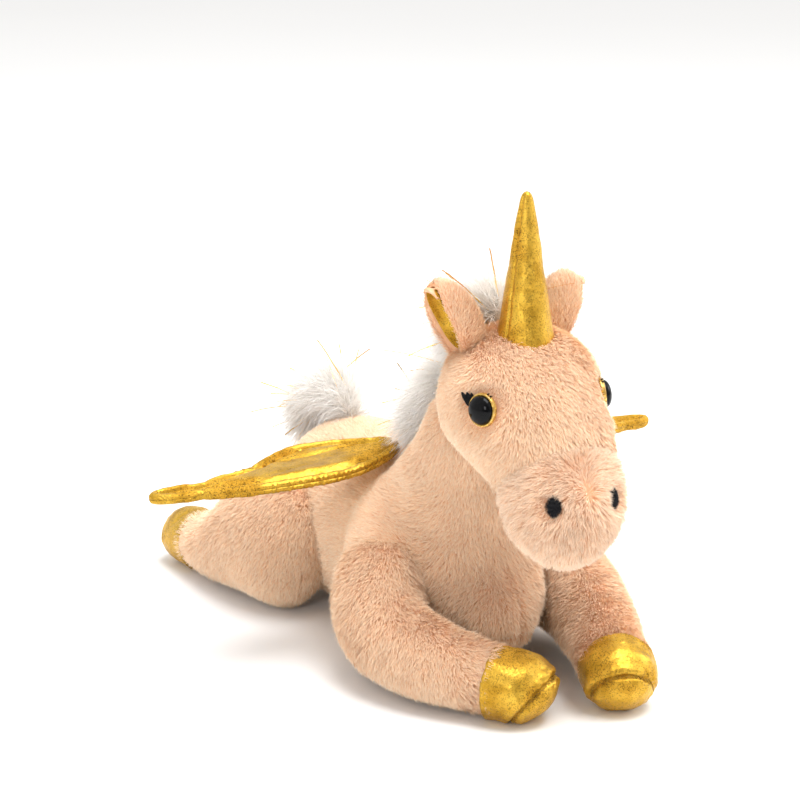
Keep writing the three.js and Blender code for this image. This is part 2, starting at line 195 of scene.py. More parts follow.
def noise3(points: Array, size: float, seed: int) -> Array:
    """Three smooth noises side by side, as a vector for each point."""
    return np.stack([noise(points, size, seed + 17 * k) for k in range(3)], axis=1)


def creases(points: Array, size: float, seed: int) -> Array:
    """Sharp valleys from 0 to 1: the size of a noise, high away from its zero lines."""
    return np.minimum(np.abs(noise(points, size, seed)) * 2.5, 1)


def clump_centre(points: Array, size: float, seed: int) -> Array:
    """The nearest of the scattered centres, one in each cell of a lattice.

    Args:
        points: Places in millimetres.
        size: The lattice's step.
        seed: Picks another scatter.

    Returns:
        For each point the nearest centre.
    """
    cell = np.floor(points / size)
    best = np.full(len(points), np.inf)
    nearest = np.zeros_like(points)
    for step in product((-1, 0, 1), repeat=3):
        c = cell + np.array(step)
        jitter = np.stack([lattice(c, seed + k) for k in range(3)], axis=1)
        centre = (c + jitter) * size
        d = np.einsum("ij,ij->i", points - centre, points - centre)
        closer = d < best
        best[closer] = d[closer]
        nearest[closer] = centre[closer]
    return nearest


def spline(points: Array, t: Array) -> Array:
    """A centripetal Catmull-Rom curve through points, at shares t of its stations.

    Each span's two tangents come from the three chords around it, weighed by the
    square roots of their lengths.

    Args:
        points: The stations, one row each.
        t: Where to read the curve, from 0 at the first station to 1 at the last.

    Returns:
        One row per value of t.
    """
    last = len(points) - 1
    p = np.clip(t, 0, 1) * last
    i = np.minimum(p.astype(int), last - 1)
    w = (p - i)[:, None]
    padded = np.vstack([2 * points[0] - points[1], points, 2 * points[-1] - points[-2]])
    p0, p1, p2, p3 = (padded[i + k] for k in range(4))

    def chord(a: Array, b: Array) -> Array:
        """The square root of the distance between two rows of points."""
        return np.maximum(np.linalg.norm(b - a, axis=1, keepdims=True), 1e-8) ** 0.5

    d0, d1, d2 = chord(p0, p1), chord(p1, p2), chord(p2, p3)
    m1 = ((p1 - p0) / d0 - (p2 - p0) / (d0 + d1) + (p2 - p1) / d1) * d1
    m2 = ((p2 - p1) / d1 - (p3 - p1) / (d1 + d2) + (p3 - p2) / d2) * d1
    c2 = -3 * p1 + 3 * p2 - 2 * m1 - m2
    c3 = 2 * p1 - 2 * p2 + m1 + m2
    return p1 + m1 * w + c2 * w**2 + c3 * w**3


# ---------------------------------------------------------------- forms


@dataclass(frozen=True)
class Loft:
    """A stuffed form drawn out along a smooth path.

    Attributes:
        stations: Rows of x, y, z of a centre and then half the width and half the
            height there, in millimetres. The two end rows are the form's poles.
        samples: How many slices stand for the form when points are tested.
    """

    stations: Sequence[tuple[float, ...]]
    samples: int = 36

    def spine(self, grow: float) -> tuple[Array, Array]:
        """The stations' centres and their fullness, which is the half size over sin(v).

        Args:
            grow: How far the surface is moved outwards, in millimetres.

        Returns:
            Centres and fullness, a row for each station.
        """
        centres = np.array([s[:3] for s in self.stations], float)
        centres[0] += unit(centres[0] - centres[1]) * grow
        centres[-1] += unit(centres[-1] - centres[-2]) * grow
        last = len(centres) - 1
        inner = np.clip(np.arange(last + 1), 1, last - 1)
        halves = np.array([self.stations[k][3:5] for k in inner], float) + grow
        t = inner / last
        fullness = halves / np.sqrt(4 * t * (1 - t))[:, None]
        return centres, np.hstack([fullness, np.zeros((last + 1, 1))])

    def slices(self, t: Array, grow: float = 0.0) -> tuple[Array, ...]:
        """Centre, tangent, across, rise and fullness of the slices at shares t."""
        centres, fullness = self.spine(grow)
        step = 1e-3
        tangent = unit(spline(centres, t + step) - spline(centres, t - step))
        across = unit(np.array([1.0, 0, 0]) - tangent[:, :1] * tangent)
        return spline(centres, t), tangent, across, np.cross(across, tangent), spline(fullness, t)

    def rings(self, around: int, along: int, grow: float = 0.0) -> Array:
        """The surface as rings of points from one pole to the other.

        A point at angles u round and v along is centre(t) + across cos(u) sin(v) w(t)
        + rise sin(u) sin(v) h(t), where t = (1 - cos v) / 2.

        Args:
            around: Points in a ring.
            along: Steps from pole to pole.
            grow: How far the surface is moved outwards.

        Returns:
            An array of (along + 1, around, 3), whose end rings are single points.
        """
        v = np.linspace(0, np.pi, along + 1)
        centre, _, across, rise, full = self.slices((1 - np.cos(v)) / 2, grow)
        u = np.linspace(0, 2 * np.pi, around, endpoint=False)
        reach = np.sin(v)[:, None] * full[:, :2]
        ring_x = np.cos(u)[None, :, None] * (across * reach[:, :1])[:, None, :]
        ring_z = np.sin(u)[None, :, None] * (rise * reach[:, 1:2])[:, None, :]
        return centre[:, None, :] + ring_x + ring_z

    def covers(self, points: Array, grow: float = 0.0) -> Array:
        """Which points lie inside the form, which is read as a row of flat discs.

        Args:
            points: Places in millimetres.
            grow: Makes the form larger for the test, or smaller where negative.

        Returns:
            True for each point inside.
        """
        v = (np.arange(self.samples) + 0.5) / self.samples * np.pi
        t = (1 - np.cos(v)) / 2
        centre, tangent, across, rise, full = self.slices(t, grow)
        spacing = np.linalg.norm(np.gradient(centre, axis=0), axis=1) * 0.75 + 0.5
        inside = np.zeros(len(points), bool)
        for k in range(self.samples):
            d = points - centre[k]
            w, h = np.maximum(full[k, :2] * np.sin(v[k]), 0.5)
            a, r = d @ across[k] / w, d @ rise[k] / h
            inside |= (a * a + r * r < 1) & (np.abs(d @ tangent[k]) < spacing[k])
        return inside

    def flow(self, points: Array) -> Array:
        """The path's direction at the slice nearest to each point."""
        centre, tangent, *_ = self.slices(np.linspace(0.04, 0.96, self.samples))
        distance = np.stack([np.linalg.norm(points - c, axis=1) for c in centre], axis=1)
        weight = np.exp(-(distance - distance.min(axis=1, keepdims=True)) / 6)
        return unit(weight @ tangent)


@dataclass
class Skin:
    """A surface in pattern millimetres, before it becomes a mesh.

    Attributes:
        points: One row per point.
        faces: Point numbers of each face.
    """

    points: Array
    faces: list[tuple[int, ...]]

    @classmethod
    def capsule(cls, rings: Array) -> Skin:
        """A closed skin from rings of points whose first and last rings are poles."""
        rows, around = rings.shape[:2]
        points = np.vstack([rings[0, :1], rings[1:-1].reshape(-1, 3), rings[-1, :1]])
        last = len(points) - 1
        index = 1 + np.arange((rows - 2) * around).reshape(rows - 2, around)
        turned = np.roll(index, -1, axis=1)
        quads = np.stack([index[:-1], turned[:-1], turned[1:], index[1:]], axis=-1)
        faces = [tuple(f) for f in quads.reshape(-1, 4).tolist()]
        faces += [(0, b, a) for a, b in zip(index[0].tolist(), turned[0].tolist())]
        faces += [(last, a, b) for a, b in zip(index[-1].tolist(), turned[-1].tolist())]
        return cls(points, faces)

    @classmethod
    def sheet(cls, grid: Array) -> Skin:
        """An open skin from a grid of points."""
        rows, columns = grid.shape[:2]
        index = np.arange(rows * columns).reshape(rows, columns)
        quads = np.stack([index[:-1, :-1], index[1:, :-1], index[1:, 1:], index[:-1, 1:]], axis=-1)
        return cls(grid.reshape(-1, 3), [tuple(f) for f in quads.reshape(-1, 4).tolist()])

    def joined(self, other: Skin) -> Skin:
        """Both skins as one, with no points merged."""
        shift = len(self.points)
        faces = self.faces + [tuple(i + shift for i in f) for f in other.faces]
        return Skin(np.vstack([self.points, other.points]), faces)


# ---------------------------------------------------------------- meshes


def add_object(name: str, data: bpy.types.ID) -> bpy.types.Object:
    """Puts data in the scene as a new object."""
    made = bpy.data.objects.new(name, data)
    bpy.context.scene.collection.objects.link(made)
    return made


def place_piece(name: str, mesh: bpy.types.Mesh, finish: bpy.types.Material) -> bpy.types.Object:
    """Puts a mesh in the scene as a piece with a finish.

    Args:
        name: The piece's name.
        mesh: Its mesh, in row metres.
        finish: Its material.

    Returns:
        The new object.
    """
    mesh.name = name
    mesh.materials.clear()
    mesh.materials.append(finish)
    return add_object(name, mesh)


def mesh_of(skin: Skin, weld: float = 0.0) -> bpy.types.Mesh:
    """A mesh of a skin, with its faces turned outwards and shaded smoothly.

    Args:
        skin: The surface.
        weld: Points nearer than this are merged, in millimetres.

    Returns:
        The mesh in row metres.
    """
    mesh = bpy.data.meshes.new("skin")
    mesh.from_pydata(to_row(skin.points).tolist(), [], skin.faces)
    bm = bmesh.new()
    bm.from_mesh(mesh)
    if weld:
        bmesh.ops.remove_doubles(bm, verts=bm.verts, dist=weld * MM)
    bmesh.ops.recalc_face_normals(bm, faces=bm.faces)
    bm.to_mesh(mesh)
    bm.free()
    mesh.shade_smooth()
    return mesh


def rows_of(parts: bpy.types.bpy_prop_collection, key: str, kind: type = np.float32) -> Array:
    """A property of a mesh's parts that holds three numbers, as an array of rows."""
    flat = np.empty(len(parts) * 3, kind)
    parts.foreach_get(key, flat)
    return flat.reshape(-1, 3)


def points_of(mesh: bpy.types.Mesh) -> Array:
    """A mesh's points in pattern millimetres."""
    return to_pattern(rows_of(mesh.vertices, "co").astype(float))


def set_points(mesh: bpy.types.Mesh, points: Array) -> None:
    """Moves a mesh's points to places in pattern millimetres."""
    mesh.vertices.foreach_set("co", to_row(points).astype(np.float32).ravel())
    mesh.update()


def normals_of(mesh: bpy.types.Mesh) -> Array:
    """The outward direction at each of a mesh's points."""
    return rows_of(mesh.vertices, "normal").astype(float)


def triangles_of(mesh: bpy.types.Mesh) -> Array:
    """A mesh's triangles as rows of point numbers."""
    mesh.calc_loop_triangles()
    return rows_of(mesh.loop_triangles, "vertices", np.int32)


def finished(mesh: bpy.types.Mesh, *modifiers: tuple[str, dict]) -> bpy.types.Mesh:
    """A mesh with modifiers worked into it.

    Args:
        mesh: The mesh to start from, which is used up.
        modifiers: Pairs of a modifier's type and its settings, in order.

    Returns:
        A new mesh.
    """
    holder = add_object("holder", mesh)
    for kind, settings in modifiers:
        modifier = holder.modifiers.new(kind, kind)
        for key, value in settings.items():
            setattr(modifier, key, value)
    graph = bpy.context.evaluated_depsgraph_get()
    made = bpy.data.meshes.new_from_object(holder.evaluated_get(graph))
    bpy.data.objects.remove(holder)
    bpy.data.meshes.remove(mesh)
    made.shade_smooth()
    return made


def cut(mesh: bpy.types.Mesh, point: Array, normal: Array) -> bpy.types.Mesh:
    """Cuts away what lies beyond a plane and closes the opening.

    Args:
        mesh: The mesh to cut, which is changed.
        point: A point of the plane, in pattern millimetres.
        normal: The way that points to what goes.

    Returns:
        The same mesh.
    """
    bm = bmesh.new()
    bm.from_mesh(mesh)
    everything = bm.verts[:] + bm.edges[:] + bm.faces[:]
    plane = {"plane_co": Vector(to_row(point)), "plane_no": Vector(normal)}
    bmesh.ops.bisect_plane(bm, geom=everything, clear_outer=True, **plane)
    rim = [e for e in bm.edges if e.is_boundary]
    if rim:
        bmesh.ops.holes_fill(bm, edges=rim, sides=0)
    bmesh.ops.recalc_face_normals(bm, faces=bm.faces)
    bm.to_mesh(mesh)
    bm.free()
    return mesh


@dataclass(frozen=True)
class Stuffing:
    """How hard a sewn shell is stuffed, and how far the cloth may give.

    Attributes:
        pressure: The filling's push.
        reach: The furthest that a point may move, in millimetres.
        steps: Steps of the simulation.
        stiffness: How much the cloth resists bending.
        mass: Of each point of the cloth, in kilograms.
    """

    pressure: float = 4.0
    reach: float = 5.0
    steps: int = 20
    stiffness: float = 0.5
    mass: float = 0.003

    def fill(self, mesh: bpy.types.Mesh) -> bpy.types.Mesh:
        """Blows a closed shell up as cloth under pressure, with no weight.

        Args:
            mesh: The shell, which is changed.

        Returns:
            The same mesh, with its points moved by at most the reach.
        """
        holder = add_object("shell", mesh)
        scene = bpy.context.scene
        cloth = holder.modifiers.new("Cloth", "CLOTH")
        cloth.settings.quality = 5
        cloth.settings.mass = self.mass
        cloth.settings.bending_stiffness = self.stiffness
        cloth.settings.use_pressure = True
        cloth.settings.uniform_pressure_force = self.pressure
        cloth.settings.effector_weights.gravity = 0
        cloth.collision_settings.use_collision = False
        cloth.point_cache.frame_start = 1
        cloth.point_cache.frame_end = self.steps
        for step in range(1, self.steps + 1):
            scene.frame_set(step)
        graph = bpy.context.evaluated_depsgraph_get()
        blown = points_of(holder.evaluated_get(graph).data)
        bpy.data.objects.remove(holder)
        scene.frame_set(1)
        start = points_of(mesh)
        move = blown - start
        far = np.linalg.norm(move, axis=1, keepdims=True)
        set_points(mesh, start + move * np.minimum(1, self.reach / np.maximum(far, 1e-6)))
        return mesh


def padded_skin(skin: Skin, voxel: float, stuffing: Stuffing) -> bpy.types.Mesh:
    """A stuffed fabric shell: remeshed as one closed cloth, stuffed, and laid on the floor.

    Args:
        skin: The pattern's surface. It may be made of shells that pass into each other.
        voxel: The size of the remesh, in millimetres.
        stuffing: How it is stuffed.

    Returns:
        The finished mesh, subdivided once.
    """
    mesh = finished(
        mesh_of(skin),
        ("REMESH", {"mode": "VOXEL", "voxel_size": voxel * MM}),
        REMESH_STEPS,
    )
    mesh = stuffing.fill(mesh)
    mesh = finished(mesh, ("SUBSURF", {"levels": 1, "render_levels": 1}))
    points = points_of(mesh)
    points[:, 2] = np.maximum(points[:, 2], COVER_FLOOR)
    set_points(mesh, points)
    return mesh


# ---------------------------------------------------------------- finishes


class Graph:
    """A shader tree with short ways to add and join its nodes."""

    def __init__(self, tree: bpy.types.NodeTree) -> None:
        """Takes the tree to work on."""
        self.tree = tree

    def node(self, kind: str, inputs: dict | None = None, **settings: object) -> bpy.types.Node:
        """Adds a node.

        Args:
            kind: The node's type, without its ShaderNode prefix.
            inputs: Values or output sockets for its inputs, by name or number.
            settings: The node's own properties.

        Returns:
            The new node.
        """
        made = self.tree.nodes.new(kind if kind.startswith("Node") else "ShaderNode" + kind)
        for key, value in settings.items():
            setattr(made, key, value)
        return self.feed(made, inputs or {})

    def feed(self, node: bpy.types.Node, inputs: dict) -> bpy.types.Node:
        """Sets a node's inputs to plain values, or joins them to output sockets."""
        for key, value in inputs.items():
            if isinstance(value, bpy.types.NodeSocket):
                self.tree.links.new(value, node.inputs[key])
            else:
                node.inputs[key].default_value = value
        return node

    def math(self, operation: str, *terms: object, clamp: bool = False) -> bpy.types.NodeSocket:
        """The output of a Math node on two or three values or sockets."""
        inputs = dict(enumerate(terms))
        return self.node("Math", inputs, operation=operation, use_clamp=clamp).outputs[0]

    def mix(self, factor: object, a: object, b: object) -> bpy.types.NodeSocket:
        """The output of a Mix node on two colours."""
        return self.node("Mix", {0: factor, 6: a, 7: b}, data_type="RGBA").outputs[2]

    def ramp(self, value: object, low: float, high: float) -> bpy.types.NodeSocket:
        """A value taken from the range low to high to the range 0 to 1, softly."""
        inputs = {"Value": value, "From Min": low, "From Max": high}
        return self.node("MapRange", inputs, interpolation_type="SMOOTHSTEP").outputs["Result"]

    def place(self) -> bpy.types.NodeSocket:
        """The Object coordinates, in metres."""
        return self.node("TexCoord").outputs["Object"]

    def noise(self, scale: float, detail: float, swirl: float = 0.0) -> bpy.types.NodeSocket:
        """The height of a noise on Object coordinates, scale cells to the metre."""
        inputs = {"Vector": self.place(), "Scale": scale, "Detail": detail, "Distortion": swirl}
        return self.node("TexNoise", inputs).outputs["Fac"]


GREY: Colour = (0.5, 0.5, 0.5, 1.0)


def socket_kind(value: object) -> str:
    """The socket type that a default value needs: a colour for a tuple, or a number."""
    return "NodeSocketColor" if isinstance(value, tuple) else "NodeSocketFloat"


def make_group(
    name: str, inputs: dict[str, object], work: Callable[[Graph, dict], dict]
) -> bpy.types.NodeTree:
    """Makes a shader node group.

    Args:
        name: The group's name.
        inputs: Each input's default, a colour or a number.
        work: Adds the nodes to a graph, given the input sockets by name, and returns
            the sockets to put out by name. Those named Color are colours.

    Returns:
        The group.
    """
    tree = bpy.data.node_groups.new(name, "ShaderNodeTree")
    for label, value in inputs.items():
        socket = tree.interface.new_socket(label, in_out="INPUT", socket_type=socket_kind(value))
        socket.default_value = value
    graph = Graph(tree)
    given = graph.node("NodeGroupInput").outputs
    results = work(graph, {label: given[label] for label in inputs})
    for label in results:
        kind = socket_kind(GREY if label == "Color" else 0.0)
        tree.interface.new_socket(label, in_out="OUTPUT", socket_type=kind)
    graph.node("NodeGroupOutput", results)
    return tree


def strand_colour(g: Graph, given: dict) -> dict:
    """Colour along a fibre: from a root with painted shade, through the body, to a tip with painted
    light, lighter or darker by fibre and by tuft.
    """
    strand = g.node("Attribute", attribute_name="strand").outputs["Vector"]
    along, shade, tuft = g.node("SeparateXYZ", {0: strand}).outputs
    # Painted shade and light: the root colour is darker and more orange for the shade deep in the
    # pile, and the tip colour is paler for the light at the rims.
    lower = g.math("MULTIPLY", along, 2.0, clamp=True)
    upper = g.math("MULTIPLY_ADD", along, 2.0, -1.0, clamp=True)
    colour = g.mix(lower, given["Root"], given["Body"])
    colour = g.mix(upper, colour, given["Tip"])
    both = g.math("SUBTRACT", g.math("ADD", shade, tuft), 1.0)
    value = g.math("ADD", g.math("MULTIPLY", both, given["Spread"]), 1.0)
    return {"Color": g.node("HueSaturation", {"Color": colour, "Value": value}).outputs["Color"]}


def metal_grain(g: Graph, given: dict) -> dict:
    """Metallic knit: bright flecks, dull flecks darkened partly by wear and partly as painted dark
    reflection, and the height of its grain and creases.
    """
    fleck = g.node("TexVoronoi", {"Vector": g.place(), "Scale": given["Flecks"], "Randomness": 1.0})
    red, green, blue = g.node("SeparateColor", {0: fleck.outputs["Color"]}).outputs
    cloud, patch, wrinkle = g.noise(120.0, 3.0), g.noise(38.0, 2.0), g.noise(260.0, 3.0, 0.6)
    dull = g.math("MULTIPLY", g.ramp(patch, 0.46, 0.66), given["Wear"])
    # Painted dark reflection, partly wear: fleck cells turn towards the near-black colour, more so
    # in the dull patches.
    worn_and_painted_dark = g.math("MULTIPLY", g.ramp(red, 0.62, 0.98), g.math("ADD", dull, 0.4), clamp=True)
    colour = g.mix(g.ramp(cloud, 0.3, 0.75), given["Bright"], given["Deep"])
    roughness = g.math("ADD", g.math("MULTIPLY", green, 0.22), g.math("ADD", dull, 0.27))
    height = g.math("ADD", g.math("MULTIPLY", blue, 0.55), wrinkle)
    return {"Color": g.mix(worn_and_painted_dark, colour, given["Bare"]), "Roughness": roughness, "Height": height}


def knit_ribs(g: Graph, given: dict) -> dict:
    """Backing cloth: fine crossed ribs with an uneven dye."""
    axes = g.node("SeparateXYZ", {0: g.place()}).outputs
    waves = [g.math("SINE", g.math("MULTIPLY", axis, given["Ribs"])) for axis in axes]
    ribs = g.math("ADD", g.math("MULTIPLY", waves[0], waves[1]), waves[2])
    dye = g.ramp(g.noise(220.0, 4.0), 0.35, 0.7)
    return {"Color": g.mix(dye, given["Dark"], given["Light"]), "Height": ribs}


class Workshop:
    """The shared node groups and the materials made from them, each made once."""

    def __init__(self) -> None:
        """Builds the groups."""
        strand = {"Root": GREY, "Body": GREY, "Tip": GREY, "Spread": 0.3}
        metal = {"Bright": GREY, "Deep": GREY, "Bare": GREY, "Flecks": 1300.0, "Wear": 0.5}
        knit = {"Light": GREY, "Dark": GREY, "Ribs": 900.0}
        self.groups = {
            "strand": make_group("fibre_colour", strand, strand_colour),
            "lame": make_group("metal_cloth_grain", metal, metal_grain),
            "knit": make_group("backing_knit", knit, knit_ribs),
        }
        self.made: dict[object, bpy.types.Material] = {}

    def get(self, finish: Finish) -> bpy.types.Material:
        """The material of a finish, made when it is first asked for."""
        if finish not in self.made:
            self.made[finish] = finish.build(self)
        return self.made[finish]


def start_material(
    name: str, **sockets: object
) -> tuple[bpy.types.Material, Graph, bpy.types.Node]:
    """A new material with its Principled shader.

    Args:
        name: The material's name.
        sockets: Plain values of the shader's sockets, with _ for a space.

    Returns:
        The material, a graph on it and the shader node.
    """
    material = bpy.data.materials.new(name)
    material.use_nodes = True
    graph = Graph(material.node_tree)
    shader = next(n for n in material.node_tree.nodes if n.type == "BSDF_PRINCIPLED")
    graph.feed(shader, {key.replace("_", " "): value for key, value in sockets.items()})
    return material, graph, shader


class Finish:
    """What a surface is made of. Each kind builds its own material."""

    name: str

    def build(self, shop: Workshop) -> bpy.types.Material:
        """Makes the material."""
        raise NotImplementedError


@dataclass(frozen=True)
class Fibre(Finish):
    """Pile fibre, darker at its root as painted shade and paler at its tip as painted light."""

    name: str
    root: Colour
    body: Colour
    tip: Colour
    spread: float = 0.28
    sheen: float = 0.1
    roughness: float = 0.85

    def build(self, shop: Workshop) -> bpy.types.Material:
        """Makes the material."""
        plain = {"Specular_IOR_Level": 0.2, "Sheen_Weight": self.sheen, "Sheen_Roughness": 0.5}
        material, g, shader = start_material(self.name, Roughness=self.roughness, **plain)
        inputs = {"Root": self.root, "Body": self.body, "Tip": self.tip, "Spread": self.spread}
        tint = g.node("Group", inputs, node_tree=shop.groups["strand"]).outputs
        g.feed(shader, {"Base Color": tint["Color"]})
        return material


@dataclass(frozen=True)
class Lame(Finish):
    """Metallic cloth with grain, flecks and worn patches, whose dark flecks are partly painted dark
    reflection.
    """

    name: str = "gold_lame"
    bright: Colour = (0.74, 0.45, 0.055, 1.0)
    deep: Colour = (0.50, 0.27, 0.02, 1.0)
    # The near-black colour of the worn flecks, partly painted dark reflection.
    bare: Colour = (0.07, 0.035, 0.008, 1.0)
    flecks: float = 1900.0
    wear: float = 0.4
    bump: float = 1.0

    def build(self, shop: Workshop) -> bpy.types.Material:
        """Makes the material."""
        material, g, shader = start_material(self.name, Metallic=0.88, Specular_IOR_Level=0.5)
        colours = {"Bright": self.bright, "Deep": self.deep, "Bare": self.bare}
        inputs = {**colours, "Flecks": self.flecks, "Wear": self.wear}
        grain = g.node("Group", inputs, node_tree=shop.groups["lame"]).outputs
        relief = {"Strength": self.bump, "Distance": 0.0005, "Height": grain["Height"]}
        normal = g.node("Bump", relief).outputs["Normal"]
        surface = {"Base Color": grain["Color"], "Roughness": grain["Roughness"]}
        g.feed(shader, {**surface, "Normal": normal})
        return material


@dataclass(frozen=True)
class Backing(Finish):
    """The knitted backing that the pile stands on."""

    name: str
    light: Colour
    dark: Colour

    def build(self, shop: Workshop) -> bpy.types.Material:
        """Makes the material."""
        material, g, shader = start_material(self.name, Roughness=0.95, Specular_IOR_Level=0.1)
        inputs = {"Light": self.light, "Dark": self.dark}
        knit = g.node("Group", inputs, node_tree=shop.groups["knit"]).outputs
        relief = {"Strength": 0.4, "Distance": 0.0003, "Height": knit["Height"]}
        normal = g.node("Bump", relief).outputs["Normal"]
        g.feed(shader, {"Base Color": knit["Color"], "Normal": normal})
        return material


@dataclass(frozen=True)
class Polished(Finish):
    """A moulded glossy part, with faint cloudiness and fine scratches."""

    name: str
    light: Colour
    dark: Colour
    roughness: float = 0.05
    metal: float = 0.0
    coat: float = 1.0
    grain: float = 900.0
    shine: float = 0.5

    def build(self, shop: Workshop) -> bpy.types.Material:
        """Makes the material."""
        plain = {"Coat_Weight": self.coat, "Coat_Roughness": 0.03, "Specular_IOR_Level": self.shine}
        material, g, shader = start_material(self.name, Metallic=self.metal, **plain)
        cloud = g.ramp(g.noise(self.grain, 3.0), 0.3, 0.7)
        rough = g.math("MULTIPLY_ADD", cloud, 0.06, self.roughness)
        g.feed(shader, {"Base Color": g.mix(cloud, self.dark, self.light), "Roughness": rough})
        return material


@dataclass(frozen=True)
class Plain(Finish):
    """A dull, faintly clouded surface for the studio's floor."""

    name: str
    light: Colour
    dark: Colour

    def build(self, shop: Workshop) -> bpy.types.Material:
        """Makes the material."""
        material, g, shader = start_material(self.name, Roughness=0.9, Specular_IOR_Level=0.1)
        g.feed(shader, {"Base Color": g.mix(g.noise(1.5, 2.0), self.dark, self.light)})
        return material


# Fibre colours: the darker, more orange root is painted shade deep in the pile, and the paler tip
# is painted light at the rims.
PEACH = Fibre(
    "peach_pile", (0.90, 0.43, 0.19, 1), (0.965, 0.65, 0.40, 1), (0.99, 0.84, 0.67, 1), 0.08
)
MUZZLE = Fibre(
    "muzzle_pile", (0.84, 0.44, 0.24, 1), (0.94, 0.65, 0.43, 1), (0.97, 0.81, 0.66, 1), 0.16
)
WHITE = Fibre(
    "white_fur", (0.97, 0.93, 0.87, 1), (0.99, 0.96, 0.92, 1), (0.995, 0.985, 0.97, 1), 0.06, 0.3
)
SOOT = Fibre(
    "black_fibre", (0.006, 0.006, 0.007, 1), (0.010, 0.010, 0.012, 1), (0.03, 0.03, 0.034, 1)
)
# Painted shade: these backing colours are darker than their pile, so the gaps between fibres look
# like shadowed pile.
PEACH_BACKING = Backing("peach_backing", (0.92, 0.60, 0.40, 1), (0.82, 0.46, 0.26, 1))
WHITE_BACKING = Backing("white_backing", (0.94, 0.90, 0.85, 1), (0.86, 0.80, 0.72, 1))
BLACK_FELT = Backing("black_felt", (0.02, 0.02, 0.022, 1), (0.006, 0.006, 0.007, 1))
THREAD = Backing("gold_thread", (0.45, 0.27, 0.05, 1), (0.20, 0.11, 0.02, 1))
GOLD = Lame()
TINSEL = Polished("tinsel", (1.0, 0.74, 0.26, 1), (0.85, 0.52, 0.12, 1), 0.16, 1.0, 0.0)
PUPIL = Polished(
    "eye_black", (0.004, 0.004, 0.005, 1), (0.002, 0.002, 0.002, 1), 0.04, coat=0.0, shine=0.14
)
IRIS = Polished("iris_gold", (0.75, 0.46, 0.07, 1), (0.42, 0.22, 0.03, 1), 0.22, 0.55, 1.0, 700.0)
PLASTIC = Polished("washer_plastic", (0.82, 0.82, 0.80, 1), (0.74, 0.74, 0.72, 1), 0.4, 0.0, 0.2)
PAPER = Plain("floor", (0.96, 0.96, 0.96, 1), (0.93, 0.93, 0.93, 1))


# ---------------------------------------------------------------- pile


@dataclass(frozen=True)
class Pile:
    """How a pile fabric is made and brushed.

    Attributes:
        per_mm2: Fibres on a square millimetre.
        length: Of a fibre, in millimetres.
        width: Of a fibre at its middle.
        lean: From the fabric's normal towards the brushing, in radians.
        scatter: How far single fibres stray.
        tuft: The size of the tufts that fibres gather into.
        gather: How strongly they do.
        seed: Picks another scatter.
    """

    per_mm2: float = 4.2
    length: float = 4.9
    width: float = 0.36
    lean: float = 1.02
    scatter: float = 0.26
    tuft: float = 3.2
    gather: float = 0.08
    seed: int = 1


FINE = Pile(per_mm2=5.2, length=4.6, width=0.34)


@dataclass
class Growth:
    """Where and how a pile grows on one skin. Each field takes pattern points.

    Attributes:
        comb: The brushing's direction.
        where: The share of fibres that are kept, from 0 to 1.
        reach: A factor on the fibres' length.
    """

    comb: Field
    where: Field = field(default=lambda p: np.ones(len(p)))
    reach: Field = field(default=lambda p: np.ones(len(p)))


def sow(mesh: bpy.types.Mesh, pile: Pile, growth: Growth) -> tuple[Array, Array]:
    """Scatters roots evenly over a skin.

    Triangles are drawn in proportion to their area times the share that grows there,
    and a root's place in its triangle is drawn with square-rooted weights.

    Args:
        mesh: The skin.
        pile: The fabric.
        growth: Where it grows.

    Returns:
        Roots in pattern millimetres, and the skin's outward direction at each.
    """
    rng = np.random.default_rng(pile.seed)
    points, normals, triangles = points_of(mesh), normals_of(mesh), triangles_of(mesh)
    a, b, c = (points[triangles[:, k]] for k in range(3))
    area = np.linalg.norm(np.cross(b - a, c - a), axis=1) / 2
    expected = np.cumsum(area * growth.where((a + b + c) / 3) * pile.per_mm2)
    count = int(expected[-1])
    draw = (np.arange(count) + rng.random(count)) / count * expected[-1]
    pick = np.minimum(np.searchsorted(expected, draw), len(triangles) - 1)
    root_r = np.sqrt(rng.random(count))[:, None]
    share = rng.random(count)[:, None]
    weights = (1 - root_r, root_r * (1 - share), root_r * share)
    roots = sum(w * points[triangles[pick, k]] for k, w in enumerate(weights))
    out = sum(w * normals[triangles[pick, k]] for k, w in enumerate(weights))
    return roots, unit(out)


def tangent_part(vectors: Array, normals: Array) -> Array:
    """What is left of vectors when their part along the normals is taken away."""
    return vectors - np.einsum("ij,ij->i", vectors, normals)[:, None] * normals


